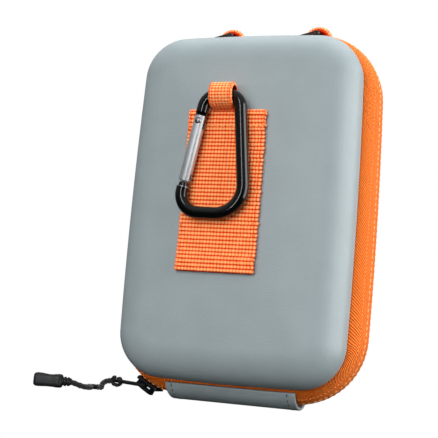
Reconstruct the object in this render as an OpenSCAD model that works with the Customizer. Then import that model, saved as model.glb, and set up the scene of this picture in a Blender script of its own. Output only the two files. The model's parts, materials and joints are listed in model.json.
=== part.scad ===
// Hard-shell case for a compact camera: two moulded shells with linings, joined by a
// bulging zip and a hinge strip, with a webbing belt loop, a snap hook and strap rings.
// X is to the right seen from the belt-loop side, Y from that side to the front, Z up.
// The origin is under the middle of the case's box, on the surface it stands on.

/* [Shells] */
// Greatest width of the shells at their seam
shell_w = 74.4; // [73:0.1:76]
// Greatest height of the shells at their seam
shell_h = 114; // [112:0.5:118]
// Depth from the zip's centre line to the rear face
rear_depth = 24.8; // [23.8:0.1:25.6]
// Depth from the zip's centre line to the front face
front_depth = 24.8; // [23.8:0.1:25.6]
// Corner radius of the shells' outline at the seam
corner_r = 14.5; // [14:0.25:16]
// Rounding between the faces and the walls
face_round = 11.5; // [10:0.25:12]
// Wall of the moulded foam shells
shell_wall = 2.2; // [1.8:0.1:2.4]
// Thickness of the fleece lining
lining_t = 0.8; // [0.6:0.1:1]

/* [Zip] */
// Half width of the zip band, from its centre line to a shell's edge
band_half = 9.9; // [9.4:0.1:10.2]
// Height of the band's ridge beyond the shells' edge
ridge_h = 4.9; // [4.6:0.1:5.2]
// Corner radius of the ridge
ridge_r = 23; // [22:0.25:24]
// Thickness of the zip tape
tape_t = 0.7; // [0.5:0.1:0.8]
// Height of the coil behind the tape
coil_h = 1.7; // [1.5:0.1:1.8]
// Width of one half of the coil
coil_w = 1.9; // [1.7:0.1:2]
// Angle of the slider on the lower left corner when the zip is shut, from the side
slider_angle = 60; // [56:1:60]

/* [Belt loop and hook] */
// Width of the belt-loop webbing
webbing_w = 25; // [24:0.5:26]
// Height of the belt-loop webbing
webbing_h = 52; // [50:0.5:53]
// Thickness of one layer of webbing
webbing_t = 0.85; // [0.8:0.05:0.9]
// Width of the narrow tape that holds the hook
hook_tape_w = 7.5; // [7.2:0.1:7.5]
// Diameter of the hook's rod
rod_d = 4; // [3.8:0.1:4]
// Diameter of the hook's gate
gate_d = 3.8; // [3.6:0.1:3.8]

/* [Strap rings] */
// Distance between the two strap loops
ring_spacing = 32; // [30:0.5:34]
// Wire diameter of a strap ring
ring_wire = 1.8; // [1.6:0.1:1.8]
// Length of a strap ring from its bar to its far side
ring_reach = 11.2; // [11:0.1:12]

/* [Pull cord] */
// Diameter of the pull cord
cord_d = 1.8; // [1.7:0.1:1.9]

/* [Hidden] */

// Colours
grey = [0.58, 0.62, 0.63];
dark_grey = [0.16, 0.17, 0.18];
orange = [0.98, 0.5, 0.16];
coil_grey = [0.24, 0.24, 0.25];
black = [0.07, 0.07, 0.08];
gunmetal = [0.22, 0.22, 0.24];
silver = [0.72, 0.73, 0.75];

// Case frame
strip_gap = 0.3;
strip_t = 1;
case_mid_z = shell_h / 2 + ridge_h + strip_gap + strip_t;
hook_y = -(rear_depth + 2 * webbing_t + 0.4 + rod_d / 2);
hook_tape_in = 3.2;
hook_tape_out = 3.9;
rear_reach = -hook_y + hook_tape_out;
zip_y = (rear_reach - front_depth) / 2;

// Outline: four corner arcs joined by slightly bowed sides
side_bow = 1.5;
end_bow = 1.8;
side_sag = 0.55;
end_sag = 0.35;
core_x = shell_w / 2 - side_sag - corner_r;
core_z = shell_h / 2 - end_sag - corner_r;
growth = (ridge_r - corner_r) / ridge_h;
ridge_core_x = core_x - (growth - 1) * ridge_h;
ridge_core_z = core_z - (growth - 1) * ridge_h;
corner_steps = 12;
side_steps = 6;
end_steps = 4;

function radius_at(off) = off > 0 ? corner_r + growth * off : corner_r + off;
function core_at(core, off) = off > 0 ? core - (growth - 1) * off : core;

// One quarter of the outline, from the middle of the right side to the top middle
function quarter(cx, cz, r) =
    let (side_r = (cz + r * sin(side_bow)) / sin(side_bow),
         side_cx = cx + (r - side_r) * cos(side_bow),
         end_r = (cx + r * sin(end_bow)) / sin(end_bow),
         end_cz = cz + (r - end_r) * cos(end_bow))
    concat(
        [for (i = [0:side_steps / 2 - 1])
            let (t = 2 * side_bow * i / side_steps)
            [side_cx + side_r * cos(t), side_r * sin(t)]],
        [for (i = [0:corner_steps])
            let (t = side_bow + (90 - side_bow - end_bow) * i / corner_steps)
            [cx + r * cos(t), cz + r * sin(t)]],
        [for (i = [end_steps / 2 - 1:-1:0])
            let (t = 90 - 2 * end_bow * i / end_steps)
            [end_r * cos(t), end_cz + end_r * sin(t)]]);

function flip(points, sx, sz) = [for (p = points) [sx * p[0], sz * p[1]]];
function backwards(list) = [for (i = [len(list) - 1:-1:0]) list[i]];
function tail(list) = [for (i = [1:len(list) - 1]) list[i]];
function no_ends(list) = [for (i = [1:len(list) - 2]) list[i]];

function closed_outline(cx, cz, r) =
    let (q = quarter(cx, cz, r))
    concat(q, tail(backwards(flip(q, -1, 1))), tail(flip(q, -1, -1)),
           no_ends(backwards(flip(q, 1, -1))));

// Outline at a distance beyond the shells' edge, rounder towards the ridge
function outline(off) = closed_outline(core_at(core_x, off), core_at(core_z, off), radius_at(off));
// Outline at a depth inside the ridge, parallel to it
function ridge_outline(depth) = closed_outline(ridge_core_x, ridge_core_z, ridge_r - depth);

// Skin over equal rings of points; closed joins the last ring to the first
module skin(rings, closed = false) {
    n = len(rings[0]);
    m = len(rings);
    points = [for (ring = rings) each ring];
    spans = closed ? m : m - 1;
    sides = [for (i = [0:spans - 1], j = [0:n - 1])
        let (a = i * n + j, b = i * n + (j + 1) % n, k = (i + 1) % m,
             d = k * n + j, c = k * n + (j + 1) % n)
        each [[a, d, c], [a, c, b]]];
    caps = closed ? [] : [[for (j = [0:n - 1]) j], [for (j = [n - 1:-1:0]) (m - 1) * n + j]];
    polyhedron(points = points, faces = concat(sides, caps), convexity = 6);
}

function ring_at(points, y) = [for (p = points) [p[0], y, p[1]]];

// Everything is drawn about the case's middle and the zip's plane, then moved into place
module in_case() {
    translate([0, zip_y, case_mid_z]) children();
}

module facing(rear) {
    in_case() mirror([0, rear ? 1 : 0, 0]) children();
}

// A dished shell: outside from the face down to the seam, then back up the inside
module dish(depth, seam, out, thick) {
    outer_r = face_round - out;
    inner_r = outer_r - thick;
    round_y = depth - outer_r;
    steps = [0:15:90];
    outer = [for (t = [90:-15:0])
        ring_at(outline(-out - outer_r * (1 - cos(t))), round_y + outer_r * sin(t))];
    inner = [for (t = steps)
        ring_at(outline(-out - thick - inner_r * (1 - cos(t))), round_y + inner_r * sin(t))];
    skin(concat(outer, [ring_at(outline(-out), seam)], [ring_at(outline(-out - thick), seam)], inner));
}

module rear_shell() { color(grey) facing(true) dish(rear_depth, band_half, 0, shell_wall); }
module front_shell() { color(grey) facing(false) dish(front_depth, band_half, 0, shell_wall); }

// The lining lies inside the shell, with the zip tape's sewn edge between them
lining_gap = 0.95;
lining_out = shell_wall + lining_gap;
module lining(depth) { dish(depth - lining_out, band_half + 0.4, lining_out, lining_t); }
module rear_lining() { color(dark_grey) facing(true) lining(rear_depth); }
module front_lining() { color(dark_grey) facing(false) lining(front_depth); }

// Woven binding over the raw edges inside the seam
binding_t = 0.5;
binding_w = 3.7;
module binding() {
    near = lining_out + lining_t + 0.1;
    far = near + binding_t;
    y0 = band_half - 0.4;
    skin([ring_at(outline(-near), y0 + binding_w), ring_at(outline(-near), y0),
          ring_at(outline(-far), y0), ring_at(outline(-far), y0 + binding_w)], closed = true);
}
module rear_binding() { color(black) facing(true) binding(); }
module front_binding() { color(black) facing(false) binding(); }

// Zip band: each tape bulges from under its shell's edge to the ridge at the centre line
seam_half_gap = 0.15;
run_half_gap = 0.55;
band_base = -1.4;
hinge_half = 21.5;

// The two tapes stand apart where the slider's post runs, at the lower left corner
function half_gap(p) =
    p[0] < -hinge_half && p[1] < -ridge_core_z + 2 ? run_half_gap : seam_half_gap;
function edge_ring(points) = [for (p = points) [p[0], half_gap(p), p[1]]];

function band_off(t, thick) = band_base + (ridge_h - band_base - thick) * sin(t);
function band_y(t, thick) = (band_half - 0.2 - thick) * cos(t);

module zip_tape() {
    hem_out = -shell_wall - 0.1;
    hem_y = band_half + 3;
    outer = [for (t = [10:16:74]) ring_at(outline(band_off(t, 0)), band_y(t, 0))];
    inner = [for (t = [74:-16:10]) ring_at(outline(band_off(t, tape_t)), band_y(t, tape_t))];
    skin(concat([ring_at(outline(hem_out), hem_y), ring_at(outline(hem_out), band_half - 0.1)], outer,
                [edge_ring(outline(ridge_h)), edge_ring(outline(ridge_h - tape_t))], inner,
                [ring_at(outline(hem_out - tape_t), band_half - 0.3),
                 ring_at(outline(hem_out - tape_t), hem_y)]), closed = true);
}
module zip_tape_rear() { color(orange) facing(true) zip_tape(); }
module zip_tape_front() { color(orange) facing(false) zip_tape(); }

// Each half of the coil is sewn behind its tape, against the centre line
coil_top = tape_t + 0.25;
coil_bottom = coil_top + coil_h;
module zip_coil() {
    slope = 0.4;
    top = ridge_outline(coil_top);
    bottom = ridge_outline(coil_bottom);
    skin([ring_at(ridge_outline(coil_top + slope), run_half_gap + coil_w),
          ring_at(top, run_half_gap + coil_w - slope), edge_ring(top), edge_ring(bottom),
          ring_at(bottom, run_half_gap + coil_w - slope),
          ring_at(ridge_outline(coil_bottom - slope), run_half_gap + coil_w)], closed = true);
}
module zip_coil_rear() { color(coil_grey) facing(true) zip_coil(); }
module zip_coil_front() { color(coil_grey) facing(false) zip_coil(); }

// Small stops crimped inside each half of the coil, under the hinge strip's left end
module zip_stop() {
    stop_l = 2.4;
    stop_w = 1.5;
    stop_h = 1;
    x0 = -hinge_half + 2;
    z0 = -shell_h / 2 - ridge_h + coil_bottom + 0.45;
    translate([x0, run_half_gap, z0]) cube([stop_l, stop_w, stop_h]);
}
module zip_stop_rear() { color(silver) facing(true) zip_stop(); }
module zip_stop_front() { color(silver) facing(false) zip_stop(); }

// The slider runs round the lower left corner of the ridge, about that corner's centre
slider_span = 19;
slider_half_w = 3.6;
plate_gap = 0.35;
plate_t = 1.1;
plate_in = ridge_r + plate_gap;
plate_out = plate_in + plate_t;
inner_plate_out = ridge_r - coil_bottom - 0.3;
inner_plate_in = inner_plate_out - 1;
bridge_half_w = 1.3;
eye_r = plate_out + 0.65;
bridge_from = -8.9;
bridge_to = 5.3;
eye_angle = slider_angle + (bridge_from + bridge_to) / 2;
bridge_in = plate_out + 1.3;
bridge_out = bridge_in + 1.05;
post_half = 0.25;

// A curved bar about the corner's centre: radii, half width and angles from the slider's middle
module arc_bar(r0, r1, half_w, from, to) {
    rotate([90, 0, 0]) translate([0, 0, -half_w])
        rotate([0, 0, 180 + slider_angle + from])
            rotate_extrude(angle = to - from, $fn = 128)
                translate([r0, 0]) square([r1 - r0, 2 * half_w]);
}

module at_slider_corner() {
    in_case() translate([-ridge_core_x, 0, -ridge_core_z]) children();
}

module zip_slider() {
    half = slider_span / 2;
    foot = 2.6;
    color(gunmetal) at_slider_corner() {
        difference() {
            arc_bar(plate_in, plate_out, slider_half_w, -half, half);
            for (side = [-1, 1]) mirror([0, side > 0 ? 1 : 0, 0]) slider_taper();
        }
        arc_bar(inner_plate_in, inner_plate_out, slider_half_w - 0.3, -half, half);
        for (side = [-1, 1])
            translate([0, side * (slider_half_w - 0.6), 0])
                arc_bar(inner_plate_out - 0.1, inner_plate_out + 0.9, 0.3, -half, half);
        arc_bar(inner_plate_out - 0.1, plate_in + 0.1, post_half, half - 4, half - 1);
        for (end = [bridge_from, bridge_to - foot])
            arc_bar(plate_out - 0.1, bridge_in + 0.1, bridge_half_w, end, end + foot);
        arc_bar(bridge_in, bridge_out, bridge_half_w, bridge_from, bridge_to);
    }
}

// The outer plate narrows towards its tail
module slider_taper() {
    tail_angle = slider_angle - slider_span / 2;
    rotate([0, tail_angle, 0])
        translate([-plate_out - 1, slider_half_w, 0])
            rotate([-20, 0, 0]) translate([0, 0, -1]) cube([plate_t + 3, 3, 6]);
}

// Pull tab: a bar in the slider's eye, two arms and a slotted plate
eye_x = -ridge_core_x - eye_r * cos(eye_angle);
eye_z = -ridge_core_z - eye_r * sin(eye_angle);
tab_t = 1;
tab_rise = 3.5;
tab_len = 11.8;
tab_half_w = 2.9;
eye_bar_r = 0.5;
arm_in = bridge_half_w + 0.4;

module pull_tab() {
    slot_w = 2.4;
    window_l = 4.4;
    color(gunmetal) in_case() translate([eye_x, 0, eye_z]) rotate([0, tab_rise, 0]) {
        rotate([90, 0, 0]) cylinder(r = eye_bar_r, h = 2 * tab_half_w, center = true, $fn = 32);
        translate([0, 0, -tab_t / 2]) linear_extrude(tab_t) difference() {
            union() {
                translate([-tab_len + tab_half_w, 0]) circle(r = tab_half_w, $fn = 48);
                translate([-tab_len + tab_half_w, -tab_half_w])
                    square([tab_len - tab_half_w, 2 * tab_half_w]);
            }
            translate([-window_l, -arm_in]) square([window_l + 1, 2 * arm_in]);
            translate([-tab_len + 1.4, -slot_w / 2]) square([2.2, slot_w]);
        }
    }
}

// Pull cord: a limp braided cord from the tab's slot to its moulded end, laid on the surface
cord_route = [[-43.8, 4, 3.9], [-46.4, 4.6, 3.6], [-48.6, 6.2, 2.8], [-50.1, 8.4, 1.8], [-51.2, 10.6, 1.1],
              [-53, 11.9, 1], [-54.8, 10.9, 1], [-55, 8.8, 1], [-54, 6.6, 1], [-52.6, 4.4, 1],
              [-51.4, 2.1, 1], [-51.5, -0.4, 1], [-52.8, -2.3, 1.3], [-55, -3.3, 2], [-56.4, -3.7, 2.3]];
cord_sides = 8;

function along(route, i) =
    let (a = route[max(i - 1, 0)], b = route[min(i + 1, len(route) - 1)], v = b - a) v / norm(v);
function cord_ring(route, i, r) =
    let (d = along(route, i), side = cross([0, 0, 1], d), s = side / norm(side), u = cross(d, s))
    [for (k = [0:cord_sides - 1])
        let (t = 360 * k / cord_sides) route[i] + r * (cos(t) * s + sin(t) * u)];

module pull_cord() {
    rings = [for (i = [0:len(cord_route) - 1]) cord_ring(cord_route, i, cord_d / 2)];
    color(black) skin(backwards(rings));
}

module cord_end() {
    end_l = 13;
    end_w = 5;
    end_h = 4.6;
    last = len(cord_route) - 1;
    v = cord_route[last] - cord_route[last - 1];
    color(black) translate([cord_route[last][0], cord_route[last][1], end_h / 2])
        rotate([0, 0, atan2(v[1], v[0])]) hull() {
            translate([1.2, 0, 0]) scale([1, 1, 0.9]) sphere(d = end_w - 1.4, $fn = 24);
            for (x = [3.2, end_l - 2], y = [-1, 1])
                translate([x, y * (end_w / 2 - 1), 0])
                    cylinder(r = 1, h = end_h, center = true, $fn = 24);
        }
}

// Hinge strip: folded over the band under the case, sewn to both shells
module strip_profile(clear, from, to) {
    outer = [for (t = [from:10:to])
        [band_y(t, -clear - strip_t), -shell_h / 2 - band_off(t, -clear - strip_t)]];
    inner = [for (t = [to:-10:from]) [band_y(t, -clear), -shell_h / 2 - band_off(t, -clear)]];
    polygon(concat(outer, inner));
}

module along_x(length) {
    rotate([90, 0, 90]) translate([0, 0, -length / 2]) linear_extrude(length) children();
}

module hinge_strip() { color(grey) in_case() along_x(2 * hinge_half) strip_profile(strip_gap, 20, 160); }

// The same hinge is lined inside with a flat strip between the two linings
module hinge_lining() {
    z0 = -shell_h / 2 + shell_wall + 0.2;
    half_w = band_half - 0.6;
    color(dark_grey) in_case() translate([-hinge_half + 1, -half_w, z0])
        cube([2 * hinge_half - 2, 2 * half_w, 0.6]);
}

// Net pocket inside the front shell, open at its top edge
pocket_w = 51;
pocket_h = 56;
pocket_low = -44;
pocket_depth = 1.6;
pocket_y = front_depth - lining_out - lining_t - 0.1;
module mesh_pocket() {
    net_t = 0.5;
    color(black) in_case() translate([0, pocket_y, pocket_low]) rotate([90, 0, 0]) {
        linear_extrude(pocket_depth) difference() {
            pocket_outline(0);
            pocket_outline(1.2);
            translate([-pocket_w / 2, pocket_h - 1.3]) square([pocket_w, 2]);
        }
        translate([0, 0, pocket_depth - net_t]) linear_extrude(net_t) pocket_outline(0);
    }
}
module pocket_outline(inset) {
    r = 6;
    x = pocket_w / 2 - inset;
    hull() {
        for (s = [-1, 1]) translate([s * (x - r), inset + r]) circle(r = r, $fn = 32);
        translate([-x, pocket_h - inset - 1]) square([2 * x, 1]);
    }
}
module pocket_edging() {
    edging_h = 5;
    color(black) in_case()
        translate([-pocket_w / 2 + 0.2, pocket_y - pocket_depth - 0.7, pocket_low + pocket_h - edging_h])
            cube([pocket_w - 0.4, 0.6, edging_h]);
}

// Belt loop: webbing sewn across its folded top and bottom ends, free between them
webbing_x = -3.3;
webbing_z = 2.5;
hem_top = 6.5;
hem_bottom = 4.5;
module belt_webbing() {
    top = webbing_h / 2;
    bow = 0.35;
    color(orange) in_case() translate([webbing_x, -rear_depth - 0.05, webbing_z]) along_x(webbing_w)
        polygon([[0, -top], [0, -top + hem_bottom], [-bow, -top + hem_bottom + 2],
                 [-bow, top - hem_top - 2], [0, top - hem_top], [0, top], [-2 * webbing_t, top],
                 [-2 * webbing_t, top - hem_top], [-bow - webbing_t, top - hem_top - 1],
                 [-bow - webbing_t, -top + hem_bottom + 1], [-2 * webbing_t, -top + hem_bottom],
                 [-2 * webbing_t, -top]]);
}

// Narrow tape from the belt loop's top edge round the hook's rod
hook_top_z = 32.4;
hook_tape_x = -4.25;
module hook_tape() {
    low = webbing_z + webbing_h / 2 + 0.2;
    back = -rear_depth - 0.05;
    color(orange) in_case() translate([hook_tape_x, 0, 0]) along_x(hook_tape_w) difference() {
        union() {
            translate([hook_y, hook_top_z]) circle(r = hook_tape_out, $fn = 64);
            polygon([[back, low], [back, low + 3.4], [back - 1, low + 5.4], [back - 3, low + 4],
                     [back - 3, low + 1.4], [back - 1.7, low]]);
        }
        translate([hook_y, hook_top_z]) circle(r = hook_tape_in, $fn = 64);
    }
}

// Hook: the rod's centre line runs round four arcs, clockwise from the gate's hinge
top_r = 4.5;
low_r = 6;
low_right_r = 8.5;
top_left = [-5.9, hook_top_z - top_r];
top_right = [-2.6, hook_top_z - top_r];
low_right = [-3.8, 3];
low_left = [-9, 0.6];

// Direction from a centre to the point where the line to the next arc leaves it
function leave(c0, r0, c1, r1) =
    let (v = c1 - c0, a = atan2(v[1], v[0]), lean = asin((r0 - r1) / norm(v))) a + 90 - lean;
function on_arc(c, r, a) = c + r * [cos(a), sin(a)];

gate_a = leave(low_left, low_r, top_left, top_r);
top_a = leave(top_left, top_r, top_right, top_r);
spine_a = leave(top_right, top_r, low_right, low_right_r);
low_a = (leave(low_right, low_right_r, low_left, low_r) + 360) % 360;
gate_foot = on_arc(low_left, low_r, gate_a);
gate_head = on_arc(top_left, top_r, gate_a);
gate_dir = (gate_head - gate_foot) / norm(gate_head - gate_foot);
gate_lean = atan2(gate_dir[0], gate_dir[1]);
rivet = gate_foot + 22.4 * gate_dir;
nose_l = 2.6;
gate_low = nose_l + 0.35;
rivet_r = 0.7;

// The rod's centre line, from above the rivet clockwise round to the nose
function bend(c, r, from, to) =
    let (n = ceil(abs(to - from) / 12)) [for (i = [0:n]) on_arc(c, r, from + (to - from) * i / n)];
rod_shoulder = 3;
rod_path = concat(
    [rivet + rod_shoulder * gate_dir],
    bend(top_left, top_r, gate_a, top_a),
    bend(top_right, top_r, top_a, spine_a),
    bend(low_right, low_right_r, spine_a, low_a - 360),
    bend(low_left, low_r, low_a, gate_a),
    [gate_foot + nose_l * gate_dir]);
rod_points = [for (p = rod_path) [p[0], 0, p[1]]];
rod_sides = 16;
function rod_ring(i) =
    let (d = along(rod_points, i), across = cross(d, [0, 1, 0]))
    [for (k = [0:rod_sides - 1])
        let (t = 360 * k / rod_sides) rod_points[i] + rod_d / 2 * (cos(t) * [0, 1, 0] + sin(t) * across)];
module at_hook() { in_case() translate([0, hook_y, 0]) children(); }

module hook_body() {
    tongue_t = 1.2;
    key_t = 1;
    color(black) at_hook() difference() {
        union() {
            skin([for (i = [0:len(rod_points) - 1]) rod_ring(i)]);
            translate([gate_foot[0], 0, gate_foot[1]]) rotate([0, gate_lean, 0])
                translate([-1.5, -key_t / 2, nose_l - 0.5]) cube([3, key_t, 2.1]);
            translate([rivet[0], 0, rivet[1]]) rotate([0, gate_lean, 0]) {
                rotate([90, 0, 0]) cylinder(r = 1.7, h = tongue_t, center = true, $fn = 48);
                translate([-1.7, -tongue_t / 2, 0]) cube([3.4, tongue_t, rod_shoulder + 0.5]);
            }
        }
        translate([rivet[0], 0, rivet[1]]) rotate([90, 0, 0])
            cylinder(r = rivet_r + 0.05, h = 10, center = true, $fn = 48);
    }
}

module at_rivet() {
    at_hook() translate([rivet[0], 0, rivet[1]]) rotate([0, gate_lean, 0]) children();
}

gate_bore_r = 1.1;
spring_top = -2.9;
plunger_l = 1;
spring_l = 8;
module hook_gate() {
    gate_l = 22.4 - gate_low;
    slot = 1.8;
    color(silver) at_rivet() difference() {
        translate([0, 0, -gate_l]) cylinder(d = gate_d, h = gate_l + 1.7, $fn = 48);
        translate([-3, -slot / 2, -2.4]) cube([6, slot, 6]);
        translate([0, 0, spring_top - plunger_l - spring_l - 0.1])
            cylinder(r = gate_bore_r, h = spring_l + 4, $fn = 32);
        translate([-3, -0.8, -gate_l - 1]) cube([6, 1.6, 3.2]);
        rotate([90, 0, 0]) cylinder(r = rivet_r, h = 10, center = true, $fn = 48);
    }
}
module gate_rivet() {
    color(silver) at_rivet() rotate([90, 0, 0]) {
        cylinder(r = rivet_r, h = gate_d - 0.4, center = true, $fn = 48);
        for (s = [-1, 1]) translate([0, 0, s * (gate_d / 2 + 0.05)])
            cylinder(r = 1, h = 0.5, center = true, $fn = 48);
    }
}
module gate_plunger() {
    color(silver) at_rivet() translate([0, 0, spring_top - plunger_l])
        cylinder(r = gate_bore_r - 0.1, h = plunger_l, $fn = 32);
}
module gate_spring() {
    turns = 7;
    steps = 10;
    wire = 0.22;
    coil_r = gate_bore_r - 0.15 - wire;
    pitch = (spring_l - 0.7) / turns;
    rings = [for (i = [0:turns * steps])
        let (t = 360 * i / steps, c = coil_r * [cos(t), sin(t), 0] + [0, 0, pitch * i / steps])
        [for (k = [0:5])
            let (a = 60 * k) c + wire * (cos(a) * [cos(t), sin(t), 0] + sin(a) * [0, 0, 1])]];
    color(silver) at_rivet() translate([0, 0, spring_top - plunger_l - spring_l + 0.2]) skin(rings);
}

// Strap loops: upright loops of narrow tape on the front shell's top, each with a ring
loop_y = 14;
loop_tape_w = 7;
loop_tape_t = 1.5;
loop_arch_r = 5;
loop_top = shell_h / 2 + 13;
ring_tilt = 15;
ring_half = 4.7;
ring_z = loop_top - loop_tape_t - ring_wire / 2 - 0.15;

module strap_loop(side) {
    arch_z = loop_top - loop_arch_r;
    foot_z = shell_h / 2 + 0.1;
    color(orange) in_case() translate([side * ring_spacing / 2, loop_y + loop_tape_w / 2, 0])
        rotate([90, 0, 0]) linear_extrude(loop_tape_w) difference() {
            union() {
                translate([0, arch_z]) circle(r = loop_arch_r, $fn = 64);
                translate([-loop_arch_r, foot_z]) square([2 * loop_arch_r, arch_z - foot_z]);
            }
            translate([0, arch_z]) circle(r = loop_arch_r - loop_tape_t, $fn = 64);
            translate([-loop_arch_r + loop_tape_t, foot_z + 1.2])
                square([2 * (loop_arch_r - loop_tape_t), arch_z - foot_z - 1.2]);
        }
}
module strap_loop_left() { strap_loop(-1); }
module strap_loop_right() { strap_loop(1); }

module strap_ring(side) {
    arm = ring_reach - ring_half;
    color(black) in_case() translate([side * ring_spacing / 2, loop_y, ring_z])
        rotate([0, -ring_tilt, 0]) {
            rotate([90, 0, 0]) cylinder(d = ring_wire, h = 2 * ring_half, center = true, $fn = 32);
            for (s = [-1, 1]) translate([0, s * ring_half, 0]) {
                sphere(d = ring_wire, $fn = 32);
                rotate([0, -90, 0]) cylinder(d = ring_wire, h = arm, $fn = 32);
            }
            translate([-arm, 0, 0]) rotate([0, 0, 90])
                rotate_extrude(angle = 180, $fn = 64) translate([ring_half, 0])
                    circle(d = ring_wire, $fn = 32);
        }
}
module ring_left() { strap_ring(-1); }
module ring_right() { strap_ring(1); }

rear_shell();
front_shell();
rear_lining();
front_lining();
rear_binding();
front_binding();
zip_tape_rear();
zip_tape_front();
zip_coil_rear();
zip_coil_front();
zip_stop_rear();
zip_stop_front();
zip_slider();
pull_tab();
pull_cord();
cord_end();
hinge_strip();
hinge_lining();
mesh_pocket();
pocket_edging();
belt_webbing();
hook_tape();
hook_body();
hook_gate();
gate_rivet();
gate_spring();
gate_plunger();
strap_loop_left();
strap_loop_right();
ring_left();
ring_right();
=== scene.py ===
"""Hard-shell camera case: moulded shells, bulging zip, webbing belt loop, snap hook and corded pull."""
import json
import math

import bmesh
import bpy
from bpy.props import FloatProperty, IntProperty, PointerProperty, StringProperty
from mathutils import Matrix, Vector


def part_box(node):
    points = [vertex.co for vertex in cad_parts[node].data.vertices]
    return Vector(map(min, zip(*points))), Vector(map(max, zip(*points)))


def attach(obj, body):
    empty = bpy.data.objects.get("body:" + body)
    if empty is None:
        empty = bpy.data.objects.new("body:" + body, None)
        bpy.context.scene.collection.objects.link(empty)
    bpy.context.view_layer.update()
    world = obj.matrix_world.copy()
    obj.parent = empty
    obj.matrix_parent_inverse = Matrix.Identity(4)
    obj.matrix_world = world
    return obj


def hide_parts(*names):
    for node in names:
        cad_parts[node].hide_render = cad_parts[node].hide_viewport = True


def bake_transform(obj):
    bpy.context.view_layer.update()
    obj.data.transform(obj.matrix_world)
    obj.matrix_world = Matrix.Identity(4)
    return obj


bl_info = {
    "name": "Camera case",
    "version": (1, 0, 0),
    "blender": (4, 5, 0),
    "location": "View3D > Sidebar > Case",
    "description": "Builds a zipped hard-shell camera case around its packed frame",
    "category": "Add Mesh",
}

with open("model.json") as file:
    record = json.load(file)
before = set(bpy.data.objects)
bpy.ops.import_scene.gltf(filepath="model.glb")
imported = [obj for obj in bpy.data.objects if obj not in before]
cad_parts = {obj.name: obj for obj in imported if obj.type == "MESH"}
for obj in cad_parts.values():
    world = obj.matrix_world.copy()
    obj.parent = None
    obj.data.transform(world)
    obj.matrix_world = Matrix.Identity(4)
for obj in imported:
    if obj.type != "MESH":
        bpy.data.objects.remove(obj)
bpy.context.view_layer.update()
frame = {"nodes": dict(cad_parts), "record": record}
MM = 0.001
X_AXIS = Vector((1, 0, 0))
Y_AXIS = Vector((0, 1, 0))
Z_AXIS = Vector((0, 0, 1))
SHARP_EDGE = math.radians(40)


# Frame measures, in millimetres -------------------------------------------------------------

def box_mm(node):
    low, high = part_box(node)
    return low / MM, high / MM


REAR_LOW, REAR_HIGH = box_mm("rear_shell")
FRONT_LOW, FRONT_HIGH = box_mm("front_shell")
ZIP_LOW, ZIP_HIGH = box_mm("zip_tape_rear")
STRIP_LOW, STRIP_HIGH = box_mm("hinge_strip")
WEB_LOW, WEB_HIGH = box_mm("belt_webbing")
TAPE_LOW, TAPE_HIGH = box_mm("hook_tape")

SHELL_W = REAR_HIGH.x - REAR_LOW.x
SHELL_H = REAR_HIGH.z - REAR_LOW.z
MID_Z = (REAR_HIGH.z + REAR_LOW.z) / 2
ZIP_Y = (REAR_HIGH.y + FRONT_LOW.y) / 2
BAND_HALF = ZIP_Y - REAR_HIGH.y
REAR_DEPTH = ZIP_Y - REAR_LOW.y
FRONT_DEPTH = FRONT_HIGH.y - ZIP_Y
RIDGE_H = (ZIP_HIGH.x - ZIP_LOW.x - SHELL_W) / 2
HINGE_HALF = (STRIP_HIGH.x - STRIP_LOW.x) / 2


# Sizes and colours a user would change ------------------------------------------------------

def length(name, text, default):
    return FloatProperty(name=name, description=text, default=default * MM, unit="LENGTH", precision=4)


def colour(name, text, default):
    return StringProperty(name=name, description=text, default=default)


class CaseShells(bpy.types.PropertyGroup):
    corner: length("Corner", "Corner radius of the shells' outline at the seam", 14.5)
    rounding: length("Rounding", "Rounding between the faces and the walls", 11.5)
    wall: length("Wall", "Thickness of the moulded shell", 2.2)
    lip: length("Lip", "Rounding of the turned-in edge at the seam", 0.8)
    skin: colour("Skin", "Hex colour of the coated skin", "#909B9E")
    lining: colour("Lining", "Hex colour of the fleece lining", "#26272A")


class CaseZip(bpy.types.PropertyGroup):
    ridge_corner: length("Ridge corner", "Corner radius of the zip band's ridge", 23)
    tape: length("Tape", "Thickness of the zip tape", 0.7)
    stitch: length("Stitch pitch", "Distance from stitch to stitch along the zip", 1.9)
    thread: length("Thread", "Diameter of the sewing thread", 0.34)
    turn: length("Coil pitch", "Distance from turn to turn of the coil", 1.25)
    orange: colour("Orange", "Hex colour of the zip tape", "#F4660E")
    thread_colour: colour("Thread colour", "Hex colour of the zip's stitches", "#FFB978")


class CaseWebbing(bpy.types.PropertyGroup):
    course: length("Course", "Distance from rib to rib along the webbing", 1.24)
    end: length("End", "Distance from yarn to yarn across the webbing", 1.04)
    relief: length("Relief", "Height of a rib over the ground", 0.3)
    # Painted light: the crown colour is a painted highlight on the ribs' tops, and the ground colour is
    # painted shade at their foot and between them.
    crown_highlight: colour("Crown", "Hex colour of the ribs' crowns", "#FFB272")
    ground: colour("Ground", "Hex colour between the ribs", "#EA3E0A")
    seed: IntProperty(name="Seed", description="Seed of the yarns' unevenness", default=4, min=0)


class CaseHardware(bpy.types.PropertyGroup):
    rod: length("Rod", "Diameter of the hook's rod", 4)
    ring_wire: length("Ring wire", "Diameter of the strap rings' wire", 1.8)
    cord: length("Cord", "Diameter of the pull cord", 1.8)
    black: colour("Black", "Hex colour of the hook's finish", "#050506")
    silver: colour("Silver", "Hex colour of the gate", "#DADDE0")


def props():
    scene = bpy.context.scene
    return scene.case_shells, scene.case_zip, scene.case_webbing, scene.case_hardware


# Outline ------------------------------------------------------------------------------------

SIDE_BOW = math.radians(1.5)
END_BOW = math.radians(1.8)
SIDE_SAG = 0.55
END_SAG = 0.35
SIDE_STEPS = 14
CORNER_STEPS = 22
END_STEPS = 9


def spread(first, last, count):
    """count + 1 even values from first to last."""
    return [first + (last - first) * i / count for i in range(count + 1)]


def arc(cx, cz, r, angles):
    return [(cx + r * math.cos(a), cz + r * math.sin(a)) for a in angles]


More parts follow.
